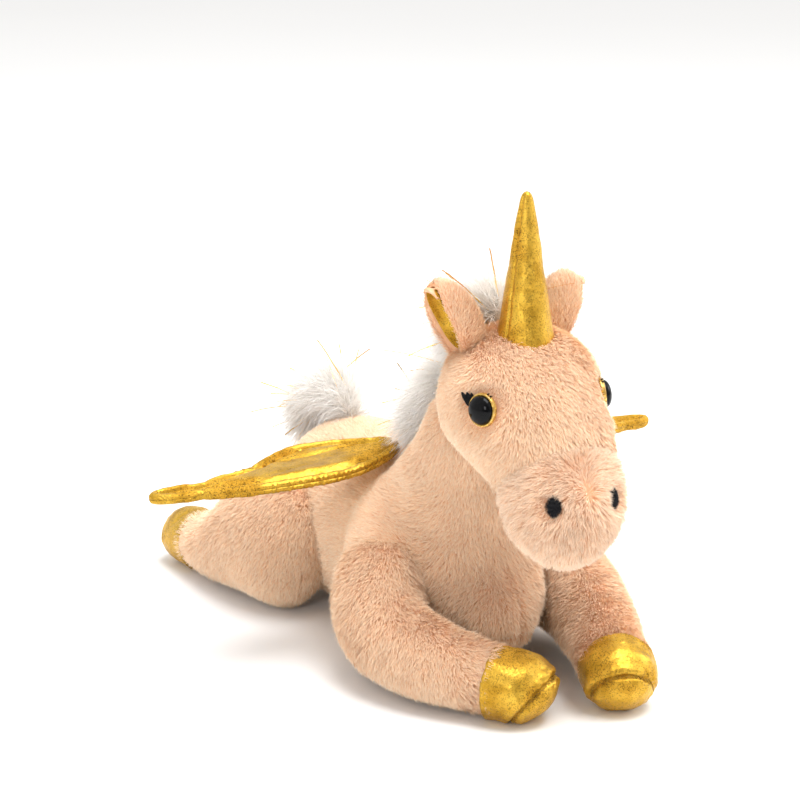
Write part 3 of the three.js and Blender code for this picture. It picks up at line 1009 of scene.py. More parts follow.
def grow(
    name: str, mesh: bpy.types.Mesh, pile: Pile, growth: Growth, finish: bpy.types.Material
) -> list[bpy.types.Object]:
    """Grows a pile on a skin, as bent kite-shaped fibres of two triangles each.

    A fibre leaves its root along cos(lean) of the normal and sin(lean) of the brushing,
    strayed by noise and pulled towards its tuft's middle, and bends over halfway.

    Args:
        name: Of the piece. A number is added where it takes more than one.
        mesh: The skin that it grows on.
        pile: The fabric.
        growth: Where it grows and which way it is brushed.
        finish: The fibres' material.

    Returns:
        The new pieces, none with more than 200,000 triangles.
    """
    roots, out = sow(mesh, pile, growth)
    rng = np.random.default_rng(pile.seed + 1000)
    count = len(roots)
    length = pile.length * growth.reach(roots) * (0.75 + 0.4 * rng.random(count))
    length *= 1 + 0.16 * noise(roots, 9.0, pile.seed + 5)
    comb = unit(growth.comb(roots)) + 0.22 * noise3(roots, 16.0, pile.seed + 2)
    comb = unit(tangent_part(comb + 0.2 * noise3(roots, 4.0, pile.seed + 3), out))
    lean = pile.lean * (0.8 + 0.3 * rng.random(count) + 0.15 * noise(roots, 11.0, pile.seed + 4))
    heading = out * np.cos(lean)[:, None] + comb * np.sin(lean)[:, None]
    heading += pile.scatter * rng.normal(size=(count, 3)) * 0.6
    centre = clump_centre(roots, pile.tuft, pile.seed + 7)
    heading += pile.gather * tangent_part(centre - roots, out) / pile.tuft * 2
    heading = unit(heading)
    middle = roots + heading * length[:, None] * 0.5
    bent = unit(heading + 0.35 * comb + 0.25 * rng.normal(size=(count, 3)) + [0, 0, -0.08])
    tip = middle + bent * length[:, None] * 0.5
    flat = unit(np.cross(heading, out + 0.25 * rng.normal(size=(count, 3)))) * pile.width / 2
    flat *= (0.7 + 0.6 * rng.random(count))[:, None]
    corners = np.stack([roots - out * 0.4, middle - flat, middle + flat, tip], axis=1)
    corners[..., 2] = np.maximum(corners[..., 2], PILE_FLOOR)
    tuft = lattice(np.round(centre * 64), pile.seed + 9)
    shade = rng.random(count)
    strand = np.empty((count, 4, 3), np.float32)
    strand[..., 0] = [0.0, 0.5, 0.5, 1.0]
    strand[..., 1] = shade[:, None]
    strand[..., 2] = (0.5 * tuft + 0.25 + 0.25 * noise(roots, 14.0, pile.seed + 8))[:, None]
    share = math.ceil(count / FIBRES_IN_PIECE)
    order = np.argsort(roots[:, 1], kind="stable") if share > 1 else np.arange(count)
    made = []
    for k, rows in enumerate(np.array_split(order, share)):
        label = name if share == 1 else f"{name}_{k + 1}"
        made.append(place_piece(label, fibre_mesh(corners[rows], strand[rows]), finish))
    return made


def fibre_mesh(corners: Array, strand: Array) -> bpy.types.Mesh:
    """A mesh of kites from their root, two middle corners and tip.

    Args:
        corners: An array of (fibres, 4, 3) in pattern millimetres.
        strand: For each corner the share along, the fibre's shade and its tuft's.

    Returns:
        The mesh, with strand as an attribute of its points.
    """
    kite = np.array([[0, 2, 1], [1, 2, 3]])
    triangles = (np.arange(len(corners))[:, None, None] * 4 + kite).reshape(-1, 3)
    return triangle_mesh(corners.reshape(-1, 3), triangles, strand.reshape(-1, 3))


def triangle_mesh(points: Array, triangles: Array, strand: Array) -> bpy.types.Mesh:
    """A mesh put together from whole arrays of points, triangles and strand values."""
    mesh = bpy.data.meshes.new("fibres")
    mesh.vertices.add(len(points))
    mesh.vertices.foreach_set("co", to_row(points).astype(np.float32).ravel())
    mesh.loops.add(triangles.size)
    mesh.loops.foreach_set("vertex_index", triangles.astype(np.int32).ravel())
    mesh.polygons.add(len(triangles))
    mesh.polygons.foreach_set("loop_start", np.arange(0, triangles.size, 3, dtype=np.int32))
    mesh.update(calc_edges=True)
    values = mesh.attributes.new("strand", "FLOAT_VECTOR", "POINT")
    values.data.foreach_set("vector", strand.astype(np.float32).ravel())
    return mesh


@dataclass(frozen=True)
class Lock:
    """Long hair or ribbon strands, each a flat tapering band that curls.

    Attributes:
        count: How many.
        length: In millimetres.
        width: At the root.
        steps: Bends along a strand.
        wave: How far it waves, as a share of its length.
        fall: How strongly its own weight turns it down.
        stray: How far headings differ.
        blunt: The width at the tip as a share of the root's.
        seed: Picks another scatter.
    """

    count: int
    length: float
    width: float = 0.5
    steps: int = 4
    wave: float = 0.12
    fall: float = 0.25
    stray: float = 0.5
    blunt: float = 0.15
    seed: int = 3

    def grow(self, roots: Array, heading: Array) -> bpy.types.Mesh:
        """Grows the strands.

        A strand's next point is its last one plus a step along its heading, which
        sways by a sine along its length and is turned down a little more each step.

        Args:
            roots: Where they start, in pattern millimetres.
            heading: Which way each one sets out.

        Returns:
            The mesh.
        """
        rng = np.random.default_rng(self.seed)
        count = len(roots)
        length = self.length * (0.55 + 0.6 * rng.random(count))
        way = unit(heading + self.stray * rng.normal(size=(count, 3)) * 0.6)
        sway = unit(np.cross(way, rng.normal(size=(count, 3))))
        phase = rng.random(count) * 2 * np.pi
        lines = [roots]
        for k in range(self.steps):
            turn = np.cos(phase + k * 2.1)[:, None] * sway * self.wave * 3
            way = unit(way + turn * 0.5 + [0, 0, -self.fall * (k + 1) / self.steps])
            lines.append(lines[-1] + way * (length / self.steps)[:, None])
        line = np.stack(lines, axis=1)
        taper = np.linspace(1, self.blunt, self.steps + 1)[None, :, None]
        half = sway[:, None, :] * self.width / 2 * taper
        band = np.stack([line - half, line + half], axis=2)
        band[..., 2] = np.maximum(band[..., 2], PILE_FLOOR)
        ring = np.arange(self.steps)[:, None] * 2
        quads = np.hstack([ring, ring + 1, ring + 3, ring, ring + 3, ring + 2]).reshape(-1, 3)
        triangles = (np.arange(count)[:, None, None] * 2 * (self.steps + 1) + quads).reshape(-1, 3)
        strand = np.empty((count, self.steps + 1, 2, 3))
        strand[..., 0] = np.linspace(0, 1, self.steps + 1)[None, :, None]
        strand[..., 1] = rng.random(count)[:, None, None]
        strand[..., 2] = (0.5 + 0.5 * noise(roots, 6.0, self.seed))[:, None, None]
        return triangle_mesh(band.reshape(-1, 3), triangles, strand.reshape(-1, 3))


def toward(*vector: float) -> Field:
    """A brushing that is the same everywhere."""
    return lambda p: np.broadcast_to(unit(np.array(vector, float)), p.shape)


def seam_cut(distance: Array, width: float, depth: float = 0.6) -> Array:
    """How a seam shortens the pile: by depth on the line, and not beyond the width."""
    return 1 - depth * (1 - smooth(0, width, np.abs(distance)))


# ---------------------------------------------------------------- patterns

TORSO = Loft((
    (0, -101, 50), (0, -74, 54, 45, 47), (0, -36, 53, 50, 53), (0, 2, 50, 47, 52),
    (0, 42, 49, 50, 54), (0, 72, 48, 44, 47), (0, 96, 46),
))
NECK = Loft((
    (0, -50, 48), (0, -62, 84, 40, 37), (0, -76, 112, 36, 33), (0, -90, 138, 33, 29), (0, -98, 158),
))
HEAD = Loft((
    (0, -74, 165), (0, -102, 155, 41, 36), (0, -126, 142, 42.5, 37), (0.5, -147, 117, 32, 30),
    (-1, -157, 97, 29, 28), (-2, -165, 75),
))
FORELEG = {
    Side.RIGHT: Loft((
        (-22, -28, 64), (-42.5, -51, 46, 25.5, 36), (-58, -80, 30, 24, 30), (-54, -109, 24, 23, 24),
        (-39, -137, 20, 21, 21), (-21, -159, 18, 20, 18), (-13, -171, 16),
    )),
    Side.LEFT: Loft((
        (22, -28, 64), (42.5, -52, 46, 25.5, 36), (54, -84, 31, 24, 30), (46, -116, 25, 24, 24),
        (34, -146, 21, 21, 21), (23, -172, 18, 20, 18), (17, -186, 16),
    )),
}
HIND_STATIONS = (
    (34, 16, 58), (47, 47, 42, 28.5, 42), (55, 76, 31, 26, 33), (60, 102, 21, 21, 23),
    (61, 126, 18, 19, 19), (61, 147, 17, 18, 17), (61, 159, 15),
)
HINDLEG = {
    side: Loft(tuple((side.value * s[0], *s[1:]) for s in HIND_STATIONS)) for side in Side
}
SHOULDER = {
    side: Loft((
        (side.value * 20, -46, 98), (side.value * 35, -49, 77, 20, 24),
        (side.value * 43, -56, 52, 22, 29), (side.value * 46, -64, 22),
    )) for side in Side
}
BRISKET = Loft(((0, -56, 38), (0, -80, 36, 36, 30), (-3, -102, 30, 25, 24), (-4, -120, 22)))
TAIL = Loft((
    (0, 52, 88), (0, 63, 104, 12, 11), (0, 80, 109, 18, 14), (0, 98, 96, 16, 12), (0, 110, 72),
))
CREST = Loft(((0, -97, 182), (0, -87, 189, 14, 9), (0, -74, 181, 14, 10), (0, -64, 164)))
NAPE = Loft(((0, -54, 156), (0, -50, 144, 13, 10), (0, -38, 120, 14, 11), (0, -22, 104)))

BACKING = 4.0  # how deep the backing lies under the pile's outer surface, in millimetres
FACE_YAW = math.radians(-3)
EYE_SINK = {Side.RIGHT: 2.4, Side.LEFT: 4.6}  # how deep each eye is drawn in by its washer
EAR_RISE = {Side.RIGHT: 13.0, Side.LEFT: 9.5}  # from where an ear bends to its middle
HOOF_LENGTH = {
    (Limb.FORE, Side.RIGHT): 32.0, (Limb.FORE, Side.LEFT): 27.0,
    (Limb.HIND, Side.RIGHT): 35.0, (Limb.HIND, Side.LEFT): 35.0,
}  # from the tip of the hoof back to its cuff


def ahead_turned(degrees: float, lift: float = 0.0) -> Array:
    """A direction turned from straight ahead of the face, with some rise."""
    angle = math.radians(degrees) + FACE_YAW
    return unit(np.array([math.sin(angle), -math.cos(angle), lift]))


def basis(axis: Array) -> tuple[Array, Array]:
    """Two directions square to an axis: one level, and one as near upright as can be."""
    stands = abs(axis[2]) > 0.99
    level = unit(np.array([1.0, 0, 0]) if stands else np.cross([0.0, 0, 1], axis))
    return level, np.cross(axis, level)


def off_axis(p: Array, centre: Array, axis: Array) -> tuple[Array, Array]:
    """How far points lie along an axis through a centre, and how far from it."""
    d = p - centre
    height = d @ axis
    return height, np.linalg.norm(d - height[:, None] * axis, axis=1)


def even_steps(line: Array, count: Callable[[float], int]) -> Array:
    """Points at even distances along a line, as many as a function of its length says."""
    run = np.concatenate([[0], np.cumsum(np.linalg.norm(np.diff(line, axis=0), axis=1))])
    even = np.linspace(0, run[-1], count(run[-1]))
    return np.stack([np.interp(even, run, column) for column in line.T], axis=1)


def to_and_fro(count: int, swing: float) -> Array:
    """The swing and its opposite in turn, for a zigzag."""
    return np.where(np.arange(count) % 2, swing, -swing)


def lathe(profile: Array, centre: Array, axis: Array, around: int = 64) -> Skin:
    """A closed skin turned round an axis.

    A point is centre + axis z + r (level cos(u) + upright sin(u)).

    Args:
        profile: Rows of r and z whose first and last r are nought.
        centre: The profile's origin, in pattern millimetres.
        axis: The way that z points.
        around: Points round the axis.

    Returns:
        The skin.
    """
    level, upright = basis(axis)
    u = np.linspace(0, 2 * np.pi, around, endpoint=False)[None, :, None]
    r, z = profile[:, 0, None, None], profile[:, 1, None, None]
    return Skin.capsule(centre + axis * z + r * (level * np.cos(u) + upright * np.sin(u)))


def tube(path: Array, radius: Array, around: int = 8) -> Skin:
    """A closed tube along a path.

    Each ring stands square to the path in a frame made with one fixed direction, and
    the first and last rings shrink to the path's ends.

    Args:
        path: The centreline, in pattern millimetres.
        radius: The radius at each of its points.
        around: Points in a ring.

    Returns:
        The skin.
    """
    tangent = unit(np.gradient(path, axis=0))
    mean = unit(np.abs(tangent).mean(axis=0))
    fixed = np.eye(3)[int(np.argmin(mean))]
    one = unit(np.cross(tangent, fixed))
    two = np.cross(tangent, one)
    u = np.linspace(0, 2 * np.pi, around, endpoint=False)[None, :, None]
    ring = one[:, None, :] * np.cos(u) + two[:, None, :] * np.sin(u)
    rings = path[:, None, :] + ring * radius[:, None, None]
    ends = [np.repeat(path[k][None, None, :], around, axis=1) for k in (0, -1)]
    return Skin.capsule(np.concatenate([ends[0], rings, ends[1]]))


def ride_all(pieces: Sequence[bpy.types.Object], body: str, slot: str) -> None:
    """Sets pieces on one body of the frame, and logs them."""
    for piece in pieces:
        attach(piece, body)
        log.info("%s rides on %s, %d faces", piece.name, body, len(piece.data.polygons))


def blend_all(
    pieces: Sequence[bpy.types.Object], pair: tuple[str, str], span: tuple[Array, Array]
) -> None:
    """Works the pieces' placement into their meshes, and logs them."""
    for piece in pieces:
        tuple(to_row(span[0]))
        tuple(to_row(span[1]))
        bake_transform(piece)
        log.info("%s bends from %s to %s, %d faces", piece.name, *pair, len(piece.data.polygons))


# ---------------------------------------------------------------- trunk


@dataclass
class Trunk:
    """The body and the neck under one cover, with a belly panel.

    Attributes:
        voxel: Size of the cover's remesh, in millimetres.
        belly_seam: Height of the seam round the belly panel.
        stuffing: How firmly it is stuffed.
        pile: Its pile fabric.
        neck_bend: Two points on the neck, where it would start and end turning with the head;
            nothing turns it.
    """

    voxel: float = 5.0
    belly_seam: float = 15.0
    stuffing: Stuffing = Stuffing(reach=3.0)
    pile: Pile = Pile(seed=11)
    neck_bend: tuple[Array, Array] = field(
        default_factory=lambda: (np.array([0.0, -70, 100]), np.array([0.0, -86, 134]))
    )

    def comb(self, p: Array) -> Array:
        """Brushed from head to tail along the back, and down the neck and the flanks."""
        neck = smooth(92, 112, p[:, 2])[:, None] * smooth(-30, -50, p[:, 1])[:, None]
        chest = smooth(-78, -96, p[:, 1])[:, None]
        back = np.array([0.0, 1.0, -0.25])
        down = np.array([0.0, 0.25, -1.0])
        way = back * (1 - chest) + down * chest
        return way * (1 - neck) + down * neck

    def where(self, p: Array) -> Array:
        """Everywhere but deep inside the legs and the head."""
        hidden = np.zeros(len(p), bool)
        for side in Side:
            hidden |= FORELEG[side].covers(p, -8) | HINDLEG[side].covers(p, -8)
        hidden |= HEAD.covers(p, -9)
        return np.where(hidden, 0.0, np.where(p[:, 2] < 2.5, 0.35, 1.0))

    def reach(self, p: Array) -> Array:
        """Shorter along the belly panel's seam and down the middle of the chest."""
        belly = seam_cut(p[:, 2] - self.belly_seam - 12 * smooth(-60, -95, p[:, 1]), 4.0, 0.55)
        middle = np.where((p[:, 1] < -60) & (p[:, 2] < 60), seam_cut(p[:, 0], 3.0, 0.5), 1.0)
        return belly * middle

    def build(self, shop: Workshop) -> None:
        """Makes the cover and its pile."""
        shell = Skin.capsule(TORSO.rings(72, 64, -BACKING))
        shell = shell.joined(Skin.capsule(NECK.rings(56, 48, -BACKING)))
        for bulge in (*SHOULDER.values(), BRISKET):
            shell = shell.joined(Skin.capsule(bulge.rings(48, 40, -BACKING)))
        mesh = padded_skin(shell, self.voxel, self.stuffing)
        pair = ("torso", "head")
        growth = Growth(self.comb, self.where, self.reach)
        pile = grow("torso_pile", mesh, self.pile, growth, shop.get(PEACH))
        cover = place_piece("torso_cover", mesh, shop.get(PEACH_BACKING))
        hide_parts("torso_coat", "belly_panel", "torso_filling")
        blend_all([cover, *pile], pair, self.neck_bend)


# ---------------------------------------------------------------- head


LASH_POINTS = (
    (153, 14.4, 1.5), (144, 12.0, 1.3), (161, 11.2, 1.1), (133, 10.0, 0.9),
    (62, 10.0, 0.4), (50, 10.2, 0.4),
)  # each point's angle in degrees, its far end from the eye's axis and its thickness


@dataclass
class Eye:
    """A domed safety eye in a metal-coloured rim, with a pointed lash.

    Attributes:
        side: Which eye.
        rim: Radius of the rim.
        pupil: Radius of the dome.
        dome: Height of the dome above the rim's face.
    """

    side: Side
    rim: float = 8.3
    pupil: float = 7.0
    dome: float = 3.8

    @property
    def look(self) -> Array:
        """The way that the eye looks."""
        return ahead_turned(self.side.value * 70, 0.1)

    @property
    def seat(self) -> Array:
        """The middle of the rim's back face."""
        return cad_centre(f"eye_iris_{self.side.word}") - self.look * EYE_SINK[self.side]

    def off_axis(self, p: Array) -> Array:
        """How far points lie from the eye's axis, and far away for those behind the head."""
        height, away = off_axis(p, self.seat, self.look)
        return np.where(np.abs(height) < 14, away, 99.0)

    def build(self, shop: Workshop) -> None:
        """Makes the rim, the dome and the lash."""
        a = np.linspace(np.pi / 2, 0, 24)
        dome = np.stack([self.pupil * np.sin(a) ** 0.92, 3.0 + self.dome * np.cos(a)], axis=1)
        base = np.array([[0, 2.2], [self.pupil, 2.2]])
        rim = np.array([
            [0, 0.4], [7.6, 0.4], [8.1, 0.6], [self.rim, 1.0], [self.rim, 1.6], [8.15, 2.2],
            [8.0, 2.7], [7.7, 2.95], [7.35, 2.9], [7.1, 2.6], [0, 2.6],
        ])
        ball = lathe(np.vstack([base, dome]), self.seat, self.look)
        ring = lathe(rim, self.seat, self.look, 80)
        for name, node, skin, finish, slot in (
            ("pupil", "eye_pupil", ball, PUPIL, "eye_black"),
            ("eye_rim", "eye_iris", ring, IRIS, "iris_gold"),
            ("lash", "eyelash", self.lash(), BLACK_FELT, "lash_black"),
        ):
            piece = place_piece(f"{name}_{self.side.word}", mesh_of(skin), shop.get(finish))
            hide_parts(f"{node}_{self.side.word}")
            ride_all([piece], "head", slot)

    def lash(self) -> Skin:
        """Points of thread at the eye's upper back corner and a few at its front.

        Each is a tube from the rim outwards on an arc, from thick to nothing.
        """
        level, upright = basis(self.look)
        back = level if level[1] > 0 else -level
        made: Skin | None = None
        s = np.linspace(0, 1, 9)[:, None]
        for degrees, far, thick in LASH_POINTS:
            a = math.radians(degrees) + 0.22 * (1 - s)
            spot = -np.cos(a) * back + np.sin(a) * upright
            radius = 7.9 + (far - 7.9) * s
            path = self.seat + spot * radius + self.look * (1.6 + 1.2 * s)
            width = thick * np.sin(np.pi * (0.25 + 0.72 * s[:, 0])) ** 0.8
            piece = tube(path, np.maximum(width, 0.05), 8)
            made = piece if made is None else made.joined(piece)
        return made


@dataclass
class Nostril:
    """An oval of short black pile over felt.

    Attributes:
        side: Which nostril.
        half_width: Across.
        half_height: Up.
        crown: How far it stands out in the middle.
        depth: How far the cover lies behind the frame's nostril.
    """

    side: Side
    half_width: float = 2.9
    half_height: float = 4.2
    crown: float = 1.2
    depth: float = 3.2

    @property
    def way(self) -> Array:
        """The way that it faces."""
        return ahead_turned(self.side.value * 38, 0.18)

    @property
    def centre(self) -> Array:
        """Its middle on the muzzle's cover."""
        return self.mark - self.way * self.depth

    @property
    def mark(self) -> Array:
        """The frame's nostril, raised a little and turned outwards."""
        return cad_centre(f"nostril_{self.side.word}") + [self.side.value * 1.5, 0, 4.5]

    def away(self, p: Array) -> Array:
        """How far points lie from its middle."""
        return np.linalg.norm(p - self.centre, axis=1)

    def settle(self, cover: Array) -> None:
        """Sets the depth to that of the cover's outermost point near the nostril's axis."""
        height, away = off_axis(cover, self.mark, self.way)
        near = (away < 2.5) & (height > -15)
        if near.any():
            self.depth = -float(height[near].max())

    def build(self, shop: Workshop) -> None:
        """Makes the felt oval and its pile."""
        word = self.side.word
        centre = self.centre - self.way * 0.9
        level, upright = basis(self.way)
        a = np.linspace(np.pi / 2, 0, 12)
        cap = np.stack([np.sin(a), 1.0 + self.crown * np.cos(a)], axis=1)
        skin = lathe(np.vstack([[0, -2.0], cap]), np.zeros(3), np.array([0.0, 0.0, 1.0]), 40)
        x, y, z = skin.points.T
        skin.points = centre + np.outer(x * self.half_width, level)
        skin.points += np.outer(y * self.half_height, upright) + np.outer(z, self.way)
        mesh = mesh_of(skin)

        def front(p: Array) -> Array:
            """The face that shows."""
            return ((p - centre) @ self.way > 0.4).astype(float)

        growth = Growth(toward(0, -0.3, -1), front)
        pile = Pile(per_mm2=14, length=2.2, width=0.35, lean=0.6, scatter=0.5, tuft=2.0, seed=61)
        fuzz = grow(f"nostril_pile_{word}", mesh, pile, growth, shop.get(SOOT))
        felt = place_piece(f"nostril_felt_{word}", mesh, shop.get(BLACK_FELT))
        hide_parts(f"nostril_{word}")
        ride_all([felt, *fuzz], "head", "lash_black")


@dataclass
class Horn:
    """A stuffed cone of metallic cloth with one seam, sewn to the forehead.

    Attributes:
        foot: The middle of the cone's base.
        radius: At the base.
        tip: Radius near the tip.
        height: From the base to the tip.
        seam: The angle of the seam round the axis, in radians.
    """

    foot: Array = field(default_factory=lambda: np.array([-2.0, -120, 166]))
    radius: float = 16.5
    tip: float = 3.0
    height: float = 86.5
    seam: float = math.radians(196)

    def away(self, p: Array) -> Array:
        """How far points lie from the axis, seen from above."""
        return np.linalg.norm((p - self.foot)[:, :2], axis=1)

    def surface(self, around: int = 120, along: int = 150) -> Array:
        """The cone's rings.

        The radius falls in a straight line from base to tip, rounded off over the last
        few millimetres, less a groove on the seam, plus folds that spread from the seam
        and the foot and fade along the way.
        """
        u = np.linspace(0, 2 * np.pi, around, endpoint=False)
        z = np.linspace(0, 1, along) ** 0.9 * self.height
        cap = np.clip((self.height - z) / 4.2, 0, 1)
        radius = self.radius + (self.tip - self.radius) * z / (self.height - 2)
        radius = radius * np.sqrt(cap * (2 - cap))
        uu, zz = np.meshgrid(u, z)
        rr = np.repeat(radius[:, None], around, axis=1)
        turn = np.angle(np.exp(1j * (uu - self.seam)))
        arc = turn * rr

        def relief(x: Array, y: Array, z: Array, size: float, seed: int) -> Array:
            """A noise over the cone's grid, read at places made from three grids."""
            spots = np.stack([x, y, z], axis=-1).reshape(-1, 3)
            return noise(spots, size, seed).reshape(uu.shape)

        cone = (rr * np.cos(uu), rr * np.sin(uu), zz)
        dents = 0.45 * relief(*cone, 12, 71) + 0.18 * relief(*cone, 5, 72)
        tucks = relief(arc * 0.25, zz, zz * 0, 3.0, 73)
        groove = -0.9 * np.exp(-((arc / 0.8) ** 2)) + 0.35 * tucks * np.exp(-np.abs(arc) / 4)
        gather = relief(uu * 7, zz * 0.1, zz * 0, 1.0, 74)
        low = np.exp(-((zz - 11) / 5.5) ** 2)
        rr = rr + (dents + groove) * cap[:, None] + 0.8 * gather * low
        rings = np.stack([rr * np.cos(uu), rr * np.sin(uu), zz], axis=-1) + self.foot
        return np.concatenate([np.broadcast_to(self.foot, (1, around, 3)), rings])

    def build(self, shop: Workshop) -> None:
        """Makes the cone."""
        cone = place_piece("horn", mesh_of(Skin.capsule(self.surface())), shop.get(GOLD))
        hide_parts("horn_cover", "horn_filling")
        ride_all([cone], "head", "gold_lame")


@dataclass
class Ear:
    """An ear: pile on the back, metallic cloth in the cup, opening to the side.

    Attributes:
        side: Which ear.
        base: Where the ear bends.
        lean: How far it leans out, in radians.
        turn: How far its opening turns back, in radians.
        leaf: Half sizes of the ear's outer form.
        cup: Half sizes of the hollow.
    """

    side: Side
    base: tuple[float, float, float] = (25, -100, 176)
    lean: float = 0.5
    turn: float = -0.05
    leaf: tuple[float, float, float] = (12.5, 11.8, 22.5)
    cup: tuple[float, float, float] = (12.6, 8.9, 19.6)

    @property
    def axes(self) -> Array:
        """The ear's own axes as columns: leaned out about Y and turned about Z."""
        turn, lean = self.side.value * self.turn, self.side.value * self.lean
        sin_l, cos_l, sin_t, cos_t = math.sin(lean), math.cos(lean), math.sin(turn), math.cos(turn)
        about_y = np.array([[cos_l, 0, sin_l], [0, 1, 0], [-sin_l, 0, cos_l]])
        return about_y @ np.array([[cos_t, -sin_t, 0], [sin_t, cos_t, 0], [0, 0, 1]])

    def turned(self, halves: tuple[float, float, float], centre: Array, ways: Array) -> Array:
        """Points of a tilted ellipsoid along ways given in its own axes."""
        return centre + (ways * np.array(halves)) @ self.axes.T

    def build(self, shop: Workshop) -> None:
        """Makes the back with its pile, and the lining.

        Both are caps of ellipsoids read in polar angles about the sideways axis. The
        back's cap runs from the inner side out to the rim, where it turns in and goes
        down into the hollow as the lining's cap.
        """
        s = self.side.value
        base = np.array([s * self.base[0], self.base[1], self.base[2]])
        centre = base + unit(np.array([s * self.lean, 0, 1])) * EAR_RISE[self.side]
        out = unit(np.array([s, -0.08, 0.1]))
        hollow = centre + out * 8
        phi = np.linspace(0, 2 * np.pi, 72, endpoint=False)

        def cap(halves: tuple[float, ...], middle: Array, angle: float, steps: int) -> list[Array]:
            """Rings of an ellipsoid from the pole on the inner side out to a polar angle."""
            rings = []
            for k in range(steps + 1):
                theta = np.full_like(phi, angle) * k / steps
                level = np.sin(theta)
                ways = [-s * np.cos(theta), level * np.cos(phi), level * np.sin(phi)]
                rings.append(self.turned(halves, middle, np.stack(ways, axis=-1)))
            return rings

        rows = cap(self.leaf, centre, 1.95, 40)
        inner = cap(self.cup, hollow, 1.45, 30)[::-1]
        lip = 0.5 * (rows[-1] + inner[0])
        back = Skin.capsule(np.stack([*rows, lip, *inner]))
        mesh = finished(
            mesh_of(back),
            ("REMESH", {"mode": "VOXEL", "voxel_size": 0.9 * MM}),
            ("SMOOTH", {"factor": 0.5, "iterations": 2}),
        )
        word = self.side.word

        def outside(p: Array) -> Array:
            """Where the pile grows: on the back and the rim, not in the hollow."""
            d = (p - hollow) @ self.axes / (np.array(self.cup) * 1.03)
            return np.where(np.linalg.norm(d, axis=1) < 1.0, 0.0, 1.0)

        def reach(p: Array) -> Array:
            """Shorter round the mouth of the hollow."""
            d = (p - hollow) @ self.axes / np.array(self.cup)
            return 0.45 + 0.55 * smooth(1.05, 1.3, np.linalg.norm(d, axis=1))

        pile = replace(FINE, seed=41)
        growth = Growth(toward(0, 0.2, 1), outside, reach)
        fuzz = grow(f"ear_pile_{word}", mesh, pile, growth, shop.get(PEACH))
        shell = place_piece(f"ear_{word}", mesh, shop.get(PEACH_BACKING))
        sheet = np.stack(cap(tuple(h - 1.0 for h in self.cup), hollow, 1.28, 40))
        folds = 0.4 * noise(sheet.reshape(-1, 3), 7, 43) + 0.15 * noise(sheet.reshape(-1, 3), 3, 44)
        sheet = sheet + (folds.reshape(sheet.shape[:2])[..., None] + 0.4) * out
        inside = mesh_of(Skin.sheet(np.concatenate([sheet, sheet[:, :1]], axis=1)), weld=0.01)
        inside = finished(inside, ("SOLIDIFY", {"thickness": 0.7 * MM, "offset": 0.0}))
        lining = place_piece(f"ear_lining_{word}_cloth", inside, shop.get(GOLD))
        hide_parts(f"ear_back_{word}")
        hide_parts(f"ear_lining_{word}")
        ride_all([shell, *fuzz], f"ear_{word}", "plush")
        ride_all([lining], f"ear_{word}", "gold_lame")


